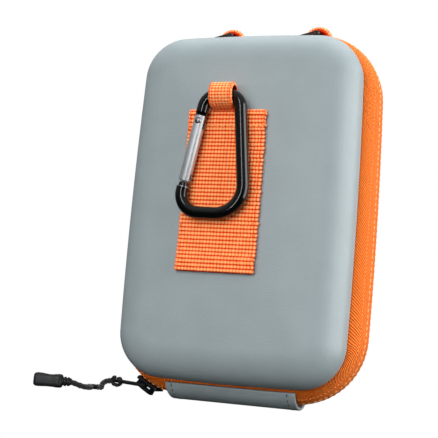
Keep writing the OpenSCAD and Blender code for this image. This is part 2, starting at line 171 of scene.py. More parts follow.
def closed_outline(core_x, core_z, r):
    """Four corner arcs joined by slightly bowed sides, anticlockwise from the right's middle."""
    side_r = (core_z + r * math.sin(SIDE_BOW)) / math.sin(SIDE_BOW)
    side_x = core_x + (r - side_r) * math.cos(SIDE_BOW)
    end_r = (core_x + r * math.sin(END_BOW)) / math.sin(END_BOW)
    end_z = core_z + (r - end_r) * math.cos(END_BOW)
    quarter = arc(side_x, 0, side_r, spread(0, SIDE_BOW, SIDE_STEPS)[:-1])
    quarter += arc(core_x, core_z, r, spread(SIDE_BOW, math.pi / 2 - END_BOW, CORNER_STEPS))
    quarter += arc(0, end_z, end_r, spread(math.pi / 2 - END_BOW, math.pi / 2, END_STEPS)[1:])
    half = quarter + [(-x, z) for x, z in reversed(quarter[:-1])]
    return half + [(x, -z) for x, z in reversed(half[1:-1])]


def core(r):
    """The centre of the corner arcs of radius r at the shells' edge."""
    return SHELL_W / 2 - SIDE_SAG - r, SHELL_H / 2 - END_SAG - r


def outline(off):
    """The case's outline at a distance beyond the shells' edge, rounder towards the ridge."""
    shells, zipper, _, _ = props()
    corner = shells.corner / MM
    core_x, core_z = core(corner)
    if off <= 0:
        return closed_outline(core_x, core_z, max(corner + off, 0.05))
    growth = (zipper.ridge_corner / MM - corner) / RIDGE_H
    shift = (growth - 1) * off
    return closed_outline(core_x - shift, core_z - shift, corner + growth * off)


def ring_at(off, depth, side):
    """A ring of the outline, at a distance from the zip's plane; side is -1 rear, 1 front."""
    return [Vector((x, ZIP_Y + side * depth, MID_Z + z)) for x, z in outline(off)]


# Mesh tools ---------------------------------------------------------------------------------

def make_mesh(name, points, faces, uvs=None, material=None, flat=False):
    """A mesh object from points in millimetres, with its faces turned outwards."""
    mesh = bpy.data.meshes.new(name)
    mesh.from_pydata([p * MM for p in points], [], faces)
    if uvs:
        layer = mesh.uv_layers.new(name="UVMap")
        corners = [uv for face in uvs for uv in face]
        for loop, uv in zip(layer.data, corners):
            loop.uv = uv
    form = bmesh.new()
    form.from_mesh(mesh)
    bmesh.ops.recalc_face_normals(form, faces=form.faces)
    form.to_mesh(mesh)
    form.free()
    if not flat:
        mesh.shade_smooth()
    if material:
        mesh.materials.append(material)
    piece = bpy.data.objects.new(name, mesh)
    bpy.context.scene.collection.objects.link(piece)
    return piece


def running(points, closed):
    """Distance along points, with the closing step last when closed."""
    total = [0.0]
    for a, b in zip(points, points[1:] + (points[:1] if closed else [])):
        total.append(total[-1] + (b - a).length)
    return total


def loft(name, rings, material, tube=True, wrap=False, caps=False):
    """A quad skin over equal rings. tube closes each ring, wrap joins the last ring to the first."""
    count = len(rings[0])
    rows = len(rings)
    points = [p for ring in rings for p in ring]
    across = running([ring[0] for ring in rings], wrap)
    around = running(rings[rows // 2], tube)
    faces, uvs = [], []
    for i in range(rows if wrap else rows - 1):
        for j in range(count if tube else count - 1):
            k, n = (i + 1) % rows, (j + 1) % count
            faces.append((i * count + j, i * count + n, k * count + n, k * count + j))
            uvs.append(((around[j], across[i]), (around[j + 1], across[i]),
                        (around[j + 1], across[i + 1]), (around[j], across[i + 1])))
    if caps:
        for row in (0, rows - 1):
            middle = sum(rings[row], Vector()) / count
            points.append(middle)
            for j in range(count):
                faces.append((row * count + j, row * count + (j + 1) % count, len(points) - 1))
                uvs.append(((around[j], across[row]), (around[j + 1], across[row]),
                            (around[j], across[row])))
    return make_mesh(name, points, faces, uvs, material)


def sweep(name, path, radius, material, sides=20, closed=False, relief=None):
    """A round tube along a path; relief(distance, angle) is added to its radius."""
    rows = len(path)
    away = running(path, closed)
    rings = []
    normal = None
    for i, point in enumerate(path):
        before = path[i - 1] if (i or closed) else path[i]
        after = path[(i + 1) % rows] if (i < rows - 1 or closed) else path[i]
        along = (after - before).normalized()
        if normal is None:
            normal = along.orthogonal().normalized()
        normal = (normal - along * normal.dot(along)).normalized()
        other = along.cross(normal)
        ring = []
        for k in range(sides):
            angle = 2 * math.pi * k / sides
            r = radius(away[i]) if callable(radius) else radius
            r += relief(away[i], angle) if relief else 0
            ring.append(point + r * (math.cos(angle) * normal + math.sin(angle) * other))
        rings.append(ring)
    return loft(name, rings, material, wrap=closed, caps=not closed)


def smooth_path(points, steps=6, closed=False):
    """A curve through points, by Catmull and Rom's rule."""
    count = len(points)
    result = []
    for i in range(count if closed else count - 1):
        if closed:
            a, b, c, d = (points[(i + k) % count] for k in (-1, 0, 1, 2))
        else:
            a, b, c, d = (points[min(max(i + k, 0), count - 1)] for k in (-1, 0, 1, 2))
        for t in spread(0, 1, steps)[:-1]:
            result.append(0.5 * (2 * b + (c - a) * t + (2 * a - 5 * b + 4 * c - d) * t ** 2
                                 + (3 * b - a - 3 * c + d) * t ** 3))
    return result if closed else result + [points[-1]]


def even_path(points, step):
    """The same path with points an even step apart, and their count rounded."""
    away = running(points, False)
    count = max(2, round(away[-1] / step))
    result = []
    k = 0
    for target in spread(0, away[-1], count):
        while k < len(points) - 2 and away[k + 1] < target:
            k += 1
        part = (target - away[k]) / max(away[k + 1] - away[k], 1e-9)
        result.append(points[k].lerp(points[k + 1], min(max(part, 0), 1)))
    return result


def path_normals(path, across, closed=False):
    """Unit vectors square to a flat path and to the strap's width."""
    result = []
    for i in range(len(path)):
        before = path[i - 1] if (i or closed) else path[i]
        after = path[(i + 1) % len(path)] if (i < len(path) - 1 or closed) else path[i]
        result.append((after - before).cross(across).normalized())
    return result


def strap(name, path, across, width, thick, material, closed=False, edge=None):
    """Flat webbing along a path, with round selvedges. edge(i, side) widens it at point i."""
    normals = path_normals(path, across, closed)
    rings = []
    for i, (point, normal) in enumerate(zip(path, normals)):
        ring = []
        for side in (1, -1):
            reach = width / 2 - thick / 2 + (edge(i, side) if edge else 0)
            for angle in spread(-math.pi / 2, math.pi / 2, 6):
                out = side * (reach + thick / 2 * math.cos(angle))
                ring.append(point + across * out + normal * (side * thick / 2 * math.sin(angle)))
            flat = spread(side * reach, -side * reach, 8)[1:-1]
            ring += [point + across * f + normal * (side * thick / 2) for f in flat]
        rings.append(ring)
    return loft(name, rings, material, wrap=closed, caps=not closed)


def from_node(name, node, material, edge):
    """A CAD node's own shape, merged, with its edges eased and a finish of its own."""
    mesh = frame["nodes"][node].data.copy()
    mesh.materials.clear()
    mesh.materials.append(material)
    form = bmesh.new()
    form.from_mesh(mesh)
    bmesh.ops.remove_doubles(form, verts=form.verts, dist=2e-6)
    bmesh.ops.dissolve_limit(form, angle_limit=math.radians(0.5), verts=form.verts, edges=form.edges)
    form.to_mesh(mesh)
    form.free()
    piece = bpy.data.objects.new(name, mesh)
    bpy.context.scene.collection.objects.link(piece)
    if edge:
        bevel = piece.modifiers.new("Eased edges", "BEVEL")
        bevel.width = edge * MM
        bevel.segments = 3
        bevel.limit_method = "ANGLE"
        bevel.angle_limit = math.radians(35)
        bevel.harden_normals = False
        settle(piece)
    piece.data.shade_smooth()
    piece.data.set_sharp_from_angle(angle=SHARP_EDGE)
    return piece


def settle(piece):
    """The piece's modifiers become plain mesh."""
    graph = bpy.context.evaluated_depsgraph_get()
    graph.update()
    mesh = bpy.data.meshes.new_from_object(piece.evaluated_get(graph), preserve_all_data_layers=True,
                                           depsgraph=graph)
    piece.modifiers.clear()
    piece.data = mesh
    return piece


def place(piece, body, slot, *nodes, across=None):
    """The piece rides on its body, or, given across, has its place baked into its mesh and rides on no
    body; it stands for its CAD nodes.

    across is the second body, and where a bend would start and end; only whether it is given is read.
    """
    if across:
        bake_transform(piece)
    else:
        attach(piece, body)
    if nodes:
        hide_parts(*nodes)
    return piece


# Node tools ---------------------------------------------------------------------------------

def linear(code):
    """An sRGB hex colour as linear RGBA."""
    parts = [int(code[i:i + 2], 16) / 255 for i in (1, 3, 5)]
    return [c / 12.92 if c <= 0.04045 else ((c + 0.055) / 1.055) ** 2.4 for c in parts] + [1.0]


def add(tree, kind, inputs=None, **settings):
    """Adds a node. An input is a value, or the socket to link from."""
    node = tree.nodes.new(kind)
    for name, value in settings.items():
        setattr(node, name, value)
    for key, value in (inputs or {}).items():
        if isinstance(value, bpy.types.NodeSocket):
            tree.links.new(value, node.inputs[key])
        else:
            node.inputs[key].default_value = value
    return node


def maths(tree, operation, a, b=0.0, c=0.0):
    """The result of a Math node. Only MULTIPLY_ADD uses c."""
    return add(tree, "ShaderNodeMath", {0: a, 1: b, 2: c}, operation=operation).outputs[0]


def ramp(tree, factor, stops):
    """A colour ramp over (position, hex colour) stops."""
    node = add(tree, "ShaderNodeValToRGB", {"Fac": factor})
    for i, (position, code) in enumerate(stops):
        point = node.color_ramp.elements[i] if i < 2 else node.color_ramp.elements.new(position)
        point.position = position
        point.color = linear(code)
    return node.outputs["Color"]


def bump(tree, height, strength, distance, below=None):
    inputs = {"Height": height, "Strength": strength, "Distance": distance * MM}
    if below:
        inputs["Normal"] = below
    return add(tree, "ShaderNodeBump", inputs).outputs["Normal"]


def surface(name, roughness, metallic=0.0, ior=1.5, sheen=0.0, coat=0.0, base=None):
    """A material with its shader's roughness, metal, IOR, sheen and coat set, and its base colour when one
    is given.
    """
    material = bpy.data.materials.new(name)
    material.use_nodes = True
    tree = material.node_tree
    shader = tree.nodes["Principled BSDF"]
    shader.inputs["Roughness"].default_value = roughness
    shader.inputs["Metallic"].default_value = metallic
    shader.inputs["IOR"].default_value = ior
    shader.inputs["Sheen Weight"].default_value = sheen
    shader.inputs["Coat Weight"].default_value = coat
    if base:
        shader.inputs["Base Color"].default_value = linear(base)
        material.diffuse_color = linear(base)
    return material, tree, shader


def in_mm(tree, source="Object", stretch=(1, 1, 1)):
    """Coordinates in millimetres, stretched so that a pattern runs long or short along an axis."""
    scale = [s / MM if source == "Object" else s for s in stretch]
    coords = add(tree, "ShaderNodeTexCoord").outputs[source]
    return add(tree, "ShaderNodeMapping", {"Vector": coords, "Scale": scale}).outputs["Vector"]


def noise(tree, vector, scale, detail=2.0):
    inputs = {"Vector": vector, "Scale": scale, "Detail": detail}
    return add(tree, "ShaderNodeTexNoise", inputs).outputs["Fac"]


def link(tree, source, shader, name):
    tree.links.new(source, shader.inputs[name])


# Finishes -----------------------------------------------------------------------------------

def coated_skin(name, code, dark, grain):
    """PU leather: a matt coat over fine moulded pebbles, 0.4 mm across, that catch a soft light."""
    material, tree, shader = surface(name, 0.45, ior=1.42)
    where = in_mm(tree)
    pebbles = add(tree, "ShaderNodeTexVoronoi", {"Vector": where, "Scale": 2.4}, feature="SMOOTH_F1")
    creases = noise(tree, in_mm(tree, stretch=(0.35, 1, 3.2)), 1.6, 3.0)
    mottle = noise(tree, where, 0.11, 3.0)
    height = maths(tree, "ADD", pebbles.outputs["Distance"], maths(tree, "MULTIPLY", creases, 0.7))
    link(tree, bump(tree, height, 0.42, grain), shader, "Normal")
    link(tree, ramp(tree, mottle, [(0.3, dark), (0.7, code)]), shader, "Base Color")
    link(tree, maths(tree, "MULTIPLY_ADD", pebbles.outputs["Distance"], 0.16, 0.36), shader, "Roughness")
    return material


def fleece(name, code):
    """Brushed knit: short fibres that scatter light, with no shine."""
    material, tree, shader = surface(name, 0.95, sheen=0.5, base=code)
    nap = noise(tree, in_mm(tree), 3.2, 4.0)
    link(tree, bump(tree, nap, 0.7, 0.25), shader, "Normal")
    link(tree, ramp(tree, nap, [(0.35, "#17181A"), (0.7, code)]), shader, "Base Color")
    return material


def woven_black(name, code, pitch):
    """Woven polyester tape: fine crossing ribs, a little shiny on their crowns."""
    material, tree, shader = surface(name, 0.62, sheen=0.2, base=code)
    split = add(tree, "ShaderNodeSeparateXYZ", {"Vector": in_mm(tree)})
    turn = 2 * math.pi / pitch
    rows = maths(tree, "SINE", maths(tree, "MULTIPLY", split.outputs["Z"], turn))
    ends = maths(tree, "SINE", maths(tree, "MULTIPLY", split.outputs["X"], turn))
    link(tree, bump(tree, maths(tree, "MULTIPLY", rows, ends), 0.5, 0.15), shader, "Normal")
    return material


def zip_twill(name, code):
    """Polyester zip tape: slanting ribs over a crossed weave, both drawn coarse enough to show. Its colour
    follows the weave's height: painted highlight on the raised yarns and painted shade in the hollows.
    """
    rib_pitch, yarn_pitch, weft_pitch, slant = 0.95, 0.62, 0.7, 1.15
    material, tree, shader = surface(name, 0.8, ior=1.35)
    split = add(tree, "ShaderNodeSeparateXYZ", {"Vector": in_mm(tree, "UV")})
    along, across = split.outputs["X"], split.outputs["Y"]
    lean = maths(tree, "ADD", along, maths(tree, "MULTIPLY", across, slant))
    rib = maths(tree, "SINE", maths(tree, "MULTIPLY", lean, 2 * math.pi / rib_pitch))
    yarn = maths(tree, "SINE", maths(tree, "MULTIPLY", across, 2 * math.pi / yarn_pitch))
    weft = maths(tree, "SINE", maths(tree, "MULTIPLY", along, 2 * math.pi / weft_pitch))
    fuzz = noise(tree, in_mm(tree), 2.6, 3.0)
    cloth = maths(tree, "ADD", rib, maths(tree, "MULTIPLY", maths(tree, "MULTIPLY", yarn, weft), 0.5))
    cloth = maths(tree, "ADD", cloth, maths(tree, "MULTIPLY", fuzz, 1.2))
    # Painted light: pale where the weave stands high, dark red in its hollows, with the tape's own orange
    # between.
    painted_light_level = maths(tree, "MULTIPLY_ADD", cloth, 0.27, 0.35)
    stops = [(0.0, "#A82C00"), (0.45, code), (1.0, "#FFA440")]
    link(tree, ramp(tree, painted_light_level, stops), shader, "Base Color")
    link(tree, bump(tree, cloth, 0.75, 0.2), shader, "Normal")
    return material


def spun_thread(name, code, roughness=0.6):
    """Sewing thread: polyester, a slight sheen along the twist."""
    material, tree, shader = surface(name, roughness, sheen=0.3, base=code)
    twist = noise(tree, in_mm(tree), 5.0, 2.0)
    link(tree, bump(tree, twist, 0.4, 0.05), shader, "Normal")
    return material


def webbing_yarn(name, crown_highlight, ground):
    """Ribbed polyester webbing: a painted highlight makes the crowns pale, and painted shade deepens the
    colour where light is lost between them.
    """
    material, tree, shader = surface(name, 0.7, ior=1.35)
    rise = add(tree, "ShaderNodeAttribute", attribute_name="rise").outputs["Fac"]
    fuzz = noise(tree, in_mm(tree, stretch=(3.0, 3.0, 1.0)), 1.8, 2.0)
    level = maths(tree, "ADD", rise, maths(tree, "MULTIPLY_ADD", fuzz, 0.35, -0.17))
    # Painted light: the dark ground stop at each bump's foot is painted shade, the pale crown stop on top a
    # painted highlight; the middle stop is the yarn's own orange.
    stops = [(0.1, ground), (0.5, "#FB6622"), (0.92, crown_highlight)]
    link(tree, ramp(tree, level, stops), shader, "Base Color")
    link(tree, bump(tree, fuzz, 0.35, 0.08), shader, "Normal")
    return material


def webbing_ground(name, code):
    """The same webbing between its ribs: darker, since the light is caught by the crowns."""
    material, tree, shader = surface(name, 0.8)
    fuzz = noise(tree, in_mm(tree, stretch=(1.0, 1.0, 3.0)), 1.6, 3.0)
    link(tree, ramp(tree, fuzz, [(0.3, "#C23000"), (0.75, code)]), shader, "Base Color")
    link(tree, bump(tree, fuzz, 0.6, 0.15), shader, "Normal")
    return material


def moulded(name, code, roughness, grain=0.03):
    """Moulded polymer: satin, with the faint grain of its tool."""
    material, tree, shader = surface(name, roughness, base=code)
    tool = noise(tree, in_mm(tree), 2.5, 4.0)
    link(tree, bump(tree, tool, 0.4, grain), shader, "Normal")
    link(tree, ramp(tree, tool, [(0.3, code), (0.8, "#1E1F21")]), shader, "Base Color")
    return material


def plated(name, code, roughness, pale):
    """Plated zinc or rolled metal: reflective, with fine wear that breaks up the gloss."""
    material, tree, shader = surface(name, roughness, metallic=1.0)
    wear = noise(tree, in_mm(tree), 0.9, 5.0)
    link(tree, ramp(tree, wear, [(0.35, code), (0.75, pale)]), shader, "Base Color")
    link(tree, maths(tree, "MULTIPLY_ADD", wear, 0.25, roughness - 0.1), shader, "Roughness")
    link(tree, bump(tree, wear, 0.15, 0.02), shader, "Normal")
    return material


def gloss_black(name, code, roughness):
    """Black anodised and lacquered rod: near-black with sharp soft-box streaks."""
    material, tree, shader = surface(name, roughness, ior=1.42, coat=0.25, base=code)
    shader.inputs["Coat Roughness"].default_value = 0.05
    dust = noise(tree, in_mm(tree), 1.4, 4.0)
    link(tree, maths(tree, "MULTIPLY_ADD", dust, 0.16, roughness - 0.06), shader, "Roughness")
    return material


def brushed(name, code):
    """Brushed aluminium tube: fine scratches along the gate that draw the light out."""
    material, tree, shader = surface(name, 0.42, metallic=0.8)
    scratch = noise(tree, in_mm(tree, stretch=(6.0, 6.0, 0.5)), 1.2, 4.0)
    link(tree, ramp(tree, scratch, [(0.25, "#B4B8BC"), (0.75, code)]), shader, "Base Color")
    link(tree, maths(tree, "MULTIPLY_ADD", scratch, 0.3, 0.34), shader, "Roughness")
    link(tree, bump(tree, scratch, 0.35, 0.03), shader, "Normal")
    return material


def finish(name):
    """Each finish by name, made once."""
    if name in bpy.data.materials:
        return bpy.data.materials[name]
    shells, zipper, webbing, hardware = props()
    makers = {
        "Grey PU leather": (coated_skin, shells.skin, "#8C979A", 0.09),
        "Darker PU strip": (coated_skin, "#98A3A6", "#8C979A", 0.11),
        "Brushed fleece": (fleece, shells.lining),
        "Black binding": (woven_black, "#0E0E10", 0.8),
        "Orange zip twill": (zip_twill, zipper.orange),
        "Pale orange thread": (spun_thread, zipper.thread_colour),
        "Orange thread": (spun_thread, "#FF9440"),
        "Black thread": (spun_thread, "#101012"),
        "Polyester coil": (moulded, "#26272A", 0.38),
        "Webbing ribs": (webbing_yarn, webbing.crown_highlight, webbing.ground),
        "Webbing ground": (webbing_ground, webbing.ground),
        "Moulded rubber": (moulded, "#141517", 0.45, 0.012),
        "Black nickel plate": (plated, "#2B2D30", 0.34, "#484B4F"),
        "Pressed aluminium": (plated, "#A9ACB0", 0.36, "#C6C9CC"),
        "Spring steel": (plated, "#8F9296", 0.3, "#B4B7BA"),
        "Braided polyester": (spun_thread, "#141416", 0.72),
        "Nylon net": (spun_thread, "#17181A", 0.5),
        "Gloss black rod": (gloss_black, hardware.black, 0.13),
        "Satin black wire": (gloss_black, "#0C0C0E", 0.32),
        "Brushed aluminium": (brushed, hardware.silver),
    }
    maker, *settings = makers[name]
    return maker(name, *settings)


# Geometry Nodes -----------------------------------------------------------------------------

def new_tree(name, inputs):
    """A Geometry Nodes tree with a mesh input and these named number or material inputs."""
    tree = bpy.data.node_groups.new(name, "GeometryNodeTree")
    tree.interface.new_socket("Geometry", in_out="INPUT", socket_type="NodeSocketGeometry")
    for label, kind in inputs:
        tree.interface.new_socket(label, in_out="INPUT", socket_type=kind)
    tree.interface.new_socket("Geometry", in_out="OUTPUT", socket_type="NodeSocketGeometry")
    given = tree.nodes.new("NodeGroupInput").outputs
    return tree, given


def close_tree(tree, geometry, material):
    """Realize Instances, Set Material and smooth shading end each tree."""
    real = add(tree, "GeometryNodeRealizeInstances", {"Geometry": geometry}).outputs["Geometry"]
    shaded = add(tree, "GeometryNodeSetShadeSmooth", {"Geometry": real}).outputs["Geometry"]
    dressed = add(tree, "GeometryNodeSetMaterial", {"Geometry": shaded, "Material": material})
    out = tree.nodes.new("NodeGroupOutput")
    tree.links.new(dressed.outputs["Geometry"], out.inputs["Geometry"])


def turned_to(tree, direction, across):
    """A rotation whose Z looks along direction, with X as near across as it can be."""
    first = add(tree, "FunctionNodeAlignRotationToVector", {"Vector": direction}, axis="Z")
    second = add(tree, "FunctionNodeAlignRotationToVector",
                 {"Rotation": first.outputs["Rotation"], "Vector": across}, axis="X", pivot_axis="Z")
    return second.outputs["Rotation"]


def yarn_tree():
    """Rounded yarn bumps on points that carry their facing and their course."""
    if "Yarn bumps" in bpy.data.node_groups:
        return bpy.data.node_groups["Yarn bumps"]
    size = "NodeSocketFloat"
    tree, given = new_tree("Yarn bumps", [("Width", size), ("Length", size), ("Height", size),
                                          ("Unevenness", size), ("Seed", "NodeSocketInt"),
                                          ("Material", "NodeSocketMaterial")])
    ball = add(tree, "GeometryNodeMeshUVSphere", {"Segments": 10, "Rings": 7, "Radius": 1.0})
    spot = add(tree, "GeometryNodeInputPosition").outputs["Position"]
    # rise, each bump's height towards its facing, carries the webbing's painted highlight on top and its
    # painted shade at the foot.
    high = add(tree, "ShaderNodeSeparateXYZ", {"Vector": spot}).outputs["Z"]
    bump_marked_for_painted_light = add(tree, "GeometryNodeStoreNamedAttribute",
                 {"Geometry": ball.outputs["Mesh"], "Name": "rise", "Value": high},
                 data_type="FLOAT", domain="POINT").outputs["Geometry"]
    facing = add(tree, "GeometryNodeInputNamedAttribute", {"Name": "facing"}, data_type="FLOAT_VECTOR")
    course = add(tree, "GeometryNodeInputNamedAttribute", {"Name": "course"}, data_type="FLOAT_VECTOR")
    turn = turned_to(tree, facing.outputs["Attribute"], course.outputs["Attribute"])
    half = [maths(tree, "MULTIPLY", given[n], 0.5) for n in ("Width", "Length")]
    even = add(tree, "ShaderNodeCombineXYZ", {"X": half[0], "Y": half[1], "Z": given["Height"]})
    least = maths(tree, "SUBTRACT", 1.0, given["Unevenness"])
    most = maths(tree, "ADD", 1.0, given["Unevenness"])
    chance = add(tree, "FunctionNodeRandomValue", {0: (0, 0, 0), 2: least, 3: most, "Seed": given["Seed"]},
                 data_type="FLOAT")
    scale = add(tree, "ShaderNodeVectorMath",
                {0: even.outputs["Vector"], "Scale": chance.outputs[1]}, operation="SCALE")
    bumps = add(tree, "GeometryNodeInstanceOnPoints",
                {"Points": given["Geometry"], "Instance": bump_marked_for_painted_light, "Rotation": turn,
                 "Scale": scale.outputs["Vector"]})
    close_tree(tree, bumps.outputs["Instances"], given["Material"])
    return tree


def stitch_tree():
    """Thread stitches an even step apart along each edge run of the input."""
    if "Stitch run" in bpy.data.node_groups:
        return bpy.data.node_groups["Stitch run"]
    size = "NodeSocketFloat"
    tree, given = new_tree("Stitch run", [("Pitch", size), ("Length", size), ("Thread", size),
                                          ("Lean", size), ("Material", "NodeSocketMaterial")])
    curve = add(tree, "GeometryNodeMeshToCurve", {"Mesh": given["Geometry"]}).outputs["Curve"]
    run = add(tree, "GeometryNodeResampleCurve", {"Curve": curve, "Length": given["Pitch"]},
              mode="LENGTH").outputs["Curve"]
    grain = add(tree, "GeometryNodeMeshUVSphere", {"Segments": 8, "Rings": 6, "Radius": 0.5})
    along = add(tree, "GeometryNodeInputTangent").outputs["Tangent"]
    turn = add(tree, "FunctionNodeAlignRotationToVector", {"Vector": along}, axis="X")
    lean = add(tree, "ShaderNodeCombineXYZ", {"Y": given["Lean"]})
    local = add(tree, "FunctionNodeRotateRotation",
                {"Rotation": turn.outputs["Rotation"], "Rotate By": lean.outputs["Vector"]},
                rotation_space="LOCAL")
    scale = add(tree, "ShaderNodeCombineXYZ",
                {"X": given["Length"], "Y": given["Thread"], "Z": given["Thread"]})
    stitches = add(tree, "GeometryNodeInstanceOnPoints",
                   {"Points": run, "Instance": grain.outputs["Mesh"],
                    "Rotation": local.outputs["Rotation"], "Scale": scale.outputs["Vector"]})
    close_tree(tree, stitches.outputs["Instances"], given["Material"])
    return tree


def coil_tree():
    """Flattened coil turns, one at each step of the input's edge run, standing across it."""
    if "Coil turns" in bpy.data.node_groups:
        return bpy.data.node_groups["Coil turns"]
    size = "NodeSocketFloat"
    tree, given = new_tree("Coil turns", [("Pitch", size), ("Width", size), ("Height", size),
                                          ("Wire", size), ("Material", "NodeSocketMaterial")])
    curve = add(tree, "GeometryNodeMeshToCurve", {"Mesh": given["Geometry"]}).outputs["Curve"]
    run = add(tree, "GeometryNodeResampleCurve", {"Curve": curve, "Length": given["Pitch"]},
              mode="LENGTH").outputs["Curve"]
    loop = add(tree, "GeometryNodeCurvePrimitiveCircle", {"Resolution": 12, "Radius": 0.5}, mode="RADIUS")
    half = [maths(tree, "SUBTRACT", given[n], given["Wire"]) for n in ("Width", "Height")]
    oval = add(tree, "ShaderNodeCombineXYZ", {"X": half[0], "Y": half[1], "Z": 1.0})
    flattened = add(tree, "GeometryNodeTransform", {"Geometry": loop.outputs["Curve"],
                                                    "Scale": oval.outputs["Vector"]})
    wire = add(tree, "GeometryNodeCurvePrimitiveCircle",
               {"Resolution": 6, "Radius": maths(tree, "MULTIPLY", given["Wire"], 0.5)}, mode="RADIUS")
    ring = add(tree, "GeometryNodeCurveToMesh", {"Curve": flattened.outputs["Geometry"],
                                                 "Profile Curve": wire.outputs["Curve"]})
    along = add(tree, "GeometryNodeInputTangent").outputs["Tangent"]
    turn = turned_to(tree, along, (0.0, 1.0, 0.0))
    turns = add(tree, "GeometryNodeInstanceOnPoints",
                {"Points": run, "Instance": ring.outputs["Mesh"], "Rotation": turn})
    close_tree(tree, turns.outputs["Instances"], given["Material"])
    return tree


def rod_tree():
    """A round rod or thread along each edge run of the input, with closed ends."""
    if "Round rod" in bpy.data.node_groups:
        return bpy.data.node_groups["Round rod"]
    tree, given = new_tree("Round rod", [("Diameter", "NodeSocketFloat"), ("Sides", "NodeSocketInt"),
                                         ("Material", "NodeSocketMaterial")])
    curve = add(tree, "GeometryNodeMeshToCurve", {"Mesh": given["Geometry"]}).outputs["Curve"]
    section = add(tree, "GeometryNodeCurvePrimitiveCircle",
                  {"Resolution": given["Sides"], "Radius": maths(tree, "MULTIPLY", given["Diameter"], 0.5)},
                  mode="RADIUS")
    rod = add(tree, "GeometryNodeCurveToMesh",
              {"Curve": curve, "Profile Curve": section.outputs["Curve"], "Fill Caps": True})
    close_tree(tree, rod.outputs["Mesh"], given["Material"])
    return tree


def grown(name, tree, runs, values, closed=False):
    """A piece grown by a tree on edge runs of points in millimetres. Returns it as plain mesh."""
    mesh = bpy.data.meshes.new(name)
    points, edges = [], []
    for run in runs:
        first = len(points)
        points += run
        edges += [(first + i, first + i + 1) for i in range(len(run) - 1)]
        if closed:
            edges.append((len(points) - 1, first))
    mesh.from_pydata([p * MM for p in points], edges, [])
    return grow(name, mesh, tree, values)


def grow(name, mesh, tree, values):
    """A piece grown by a tree on a mesh, with the tree's inputs set by their labels."""
    piece = bpy.data.objects.new(name, mesh)
    bpy.context.scene.collection.objects.link(piece)
    modifier = piece.modifiers.new(tree.name, "NODES")
    modifier.node_group = tree
    sockets = {s.name: s.identifier for s in tree.interface.items_tree if s.in_out == "INPUT"}
    for label, value in values.items():
        modifier[sockets[label]] = value
    return settle(piece)


def stitches(name, runs, pitch, long, thread, material, closed=False, lean=0.0):
    return grown(name, stitch_tree(), runs,
                 {"Pitch": pitch * MM, "Length": long * MM, "Thread": thread * MM, "Lean": lean,
                  "Material": finish(material)}, closed)


def ribs(name, path, across, width, depth, closed=False, edge=None):
    """Woven ribs over a strap: rows of yarn bumps, and the yarns that dip between the rows."""
    _, _, webbing, _ = props()
    course, end, relief = webbing.course / MM, webbing.end / MM, webbing.relief / MM
    normals = path_normals(path, across, closed)
    points, facing = [], []
    ends = max(3, round(width / end))
    step = width / ends
    for i, (point, normal) in enumerate(zip(path, normals)):
        for k in range(ends):
            out = (k + 0.5) * step - width / 2
            share = out / (width / 2)
            shift = (edge(i, 1) if share > 0 else edge(i, -1)) * abs(share) if edge else 0
            shift = math.copysign(shift, out)
            points.append(point + across * (out + shift) + normal * depth)
            facing.append(normal)
        for side in (-1, 1):
            reach = width / 2 + (edge(i, side) if edge else 0) - 0.12
            points.append(point + across * (side * reach))
            facing.append((across * side + normal * 0.5).normalized())
    mesh = bpy.data.meshes.new(name)
    mesh.from_pydata([p * MM for p in points], [], [])
    for label, values in (("facing", facing), ("course", [across] * len(points))):
        layer = mesh.attributes.new(label, "FLOAT_VECTOR", "POINT")
        layer.data.foreach_set("vector", [c for v in values for c in v])
    return grow(name, mesh, yarn_tree(),
                {"Width": step * 1.34 * MM, "Length": course * 0.98 * MM, "Height": relief * MM,
                 "Unevenness": 0.07, "Seed": webbing.seed, "Material": finish("Webbing ribs")})


# Stage --------------------------------------------------------------------------------------

CAMERA_PLACE = Vector((82.8, -285.9, 10.8)) * MM
CAMERA_AZIMUTH = math.radians(18.0)
CAMERA_TILT = math.radians(-9.36)
CAMERA_ROLL = math.radians(5.05)
CAMERA_LENS = 74.67


def set_camera():
    """The camera looks along its azimuth and tilt, rolled about its own axis."""
    az, el, roll = CAMERA_AZIMUTH, CAMERA_TILT, CAMERA_ROLL
    back = Vector((math.sin(az) * math.cos(el), -math.cos(az) * math.cos(el), math.sin(el)))
    right = Vector((math.cos(az), math.sin(az), 0))
    up = back.cross(right)
    rolled = right * math.cos(roll) + up * math.sin(roll)
    upright = up * math.cos(roll) - right * math.sin(roll)
    data = bpy.data.cameras.new("Camera")
    data.lens = CAMERA_LENS
    data.sensor_width = 36
    data.clip_start = 0.01
    camera = bpy.data.objects.new("Camera", data)
    facing = Matrix((rolled, upright, back)).transposed().to_4x4()
    camera.matrix_world = Matrix.Translation(CAMERA_PLACE) @ facing
    bpy.context.scene.collection.objects.link(camera)
    bpy.context.scene.camera = camera


def soft_box(name, stand, aim, size, watts, mirrored=True):
    """An area light. One that is not mirrored lights the case but leaves no streak in its gloss."""
    data = bpy.data.lights.new(name, "AREA")
    data.shape = "RECTANGLE"
    data.size, data.size_y = size
    data.energy = watts
    light = bpy.data.objects.new(name, data)
    light.location = stand
    light.visible_glossy = mirrored
    light.rotation_euler = (Vector(aim) - Vector(stand)).to_track_quat("-Z", "Y").to_euler()
    bpy.context.scene.collection.objects.link(light)


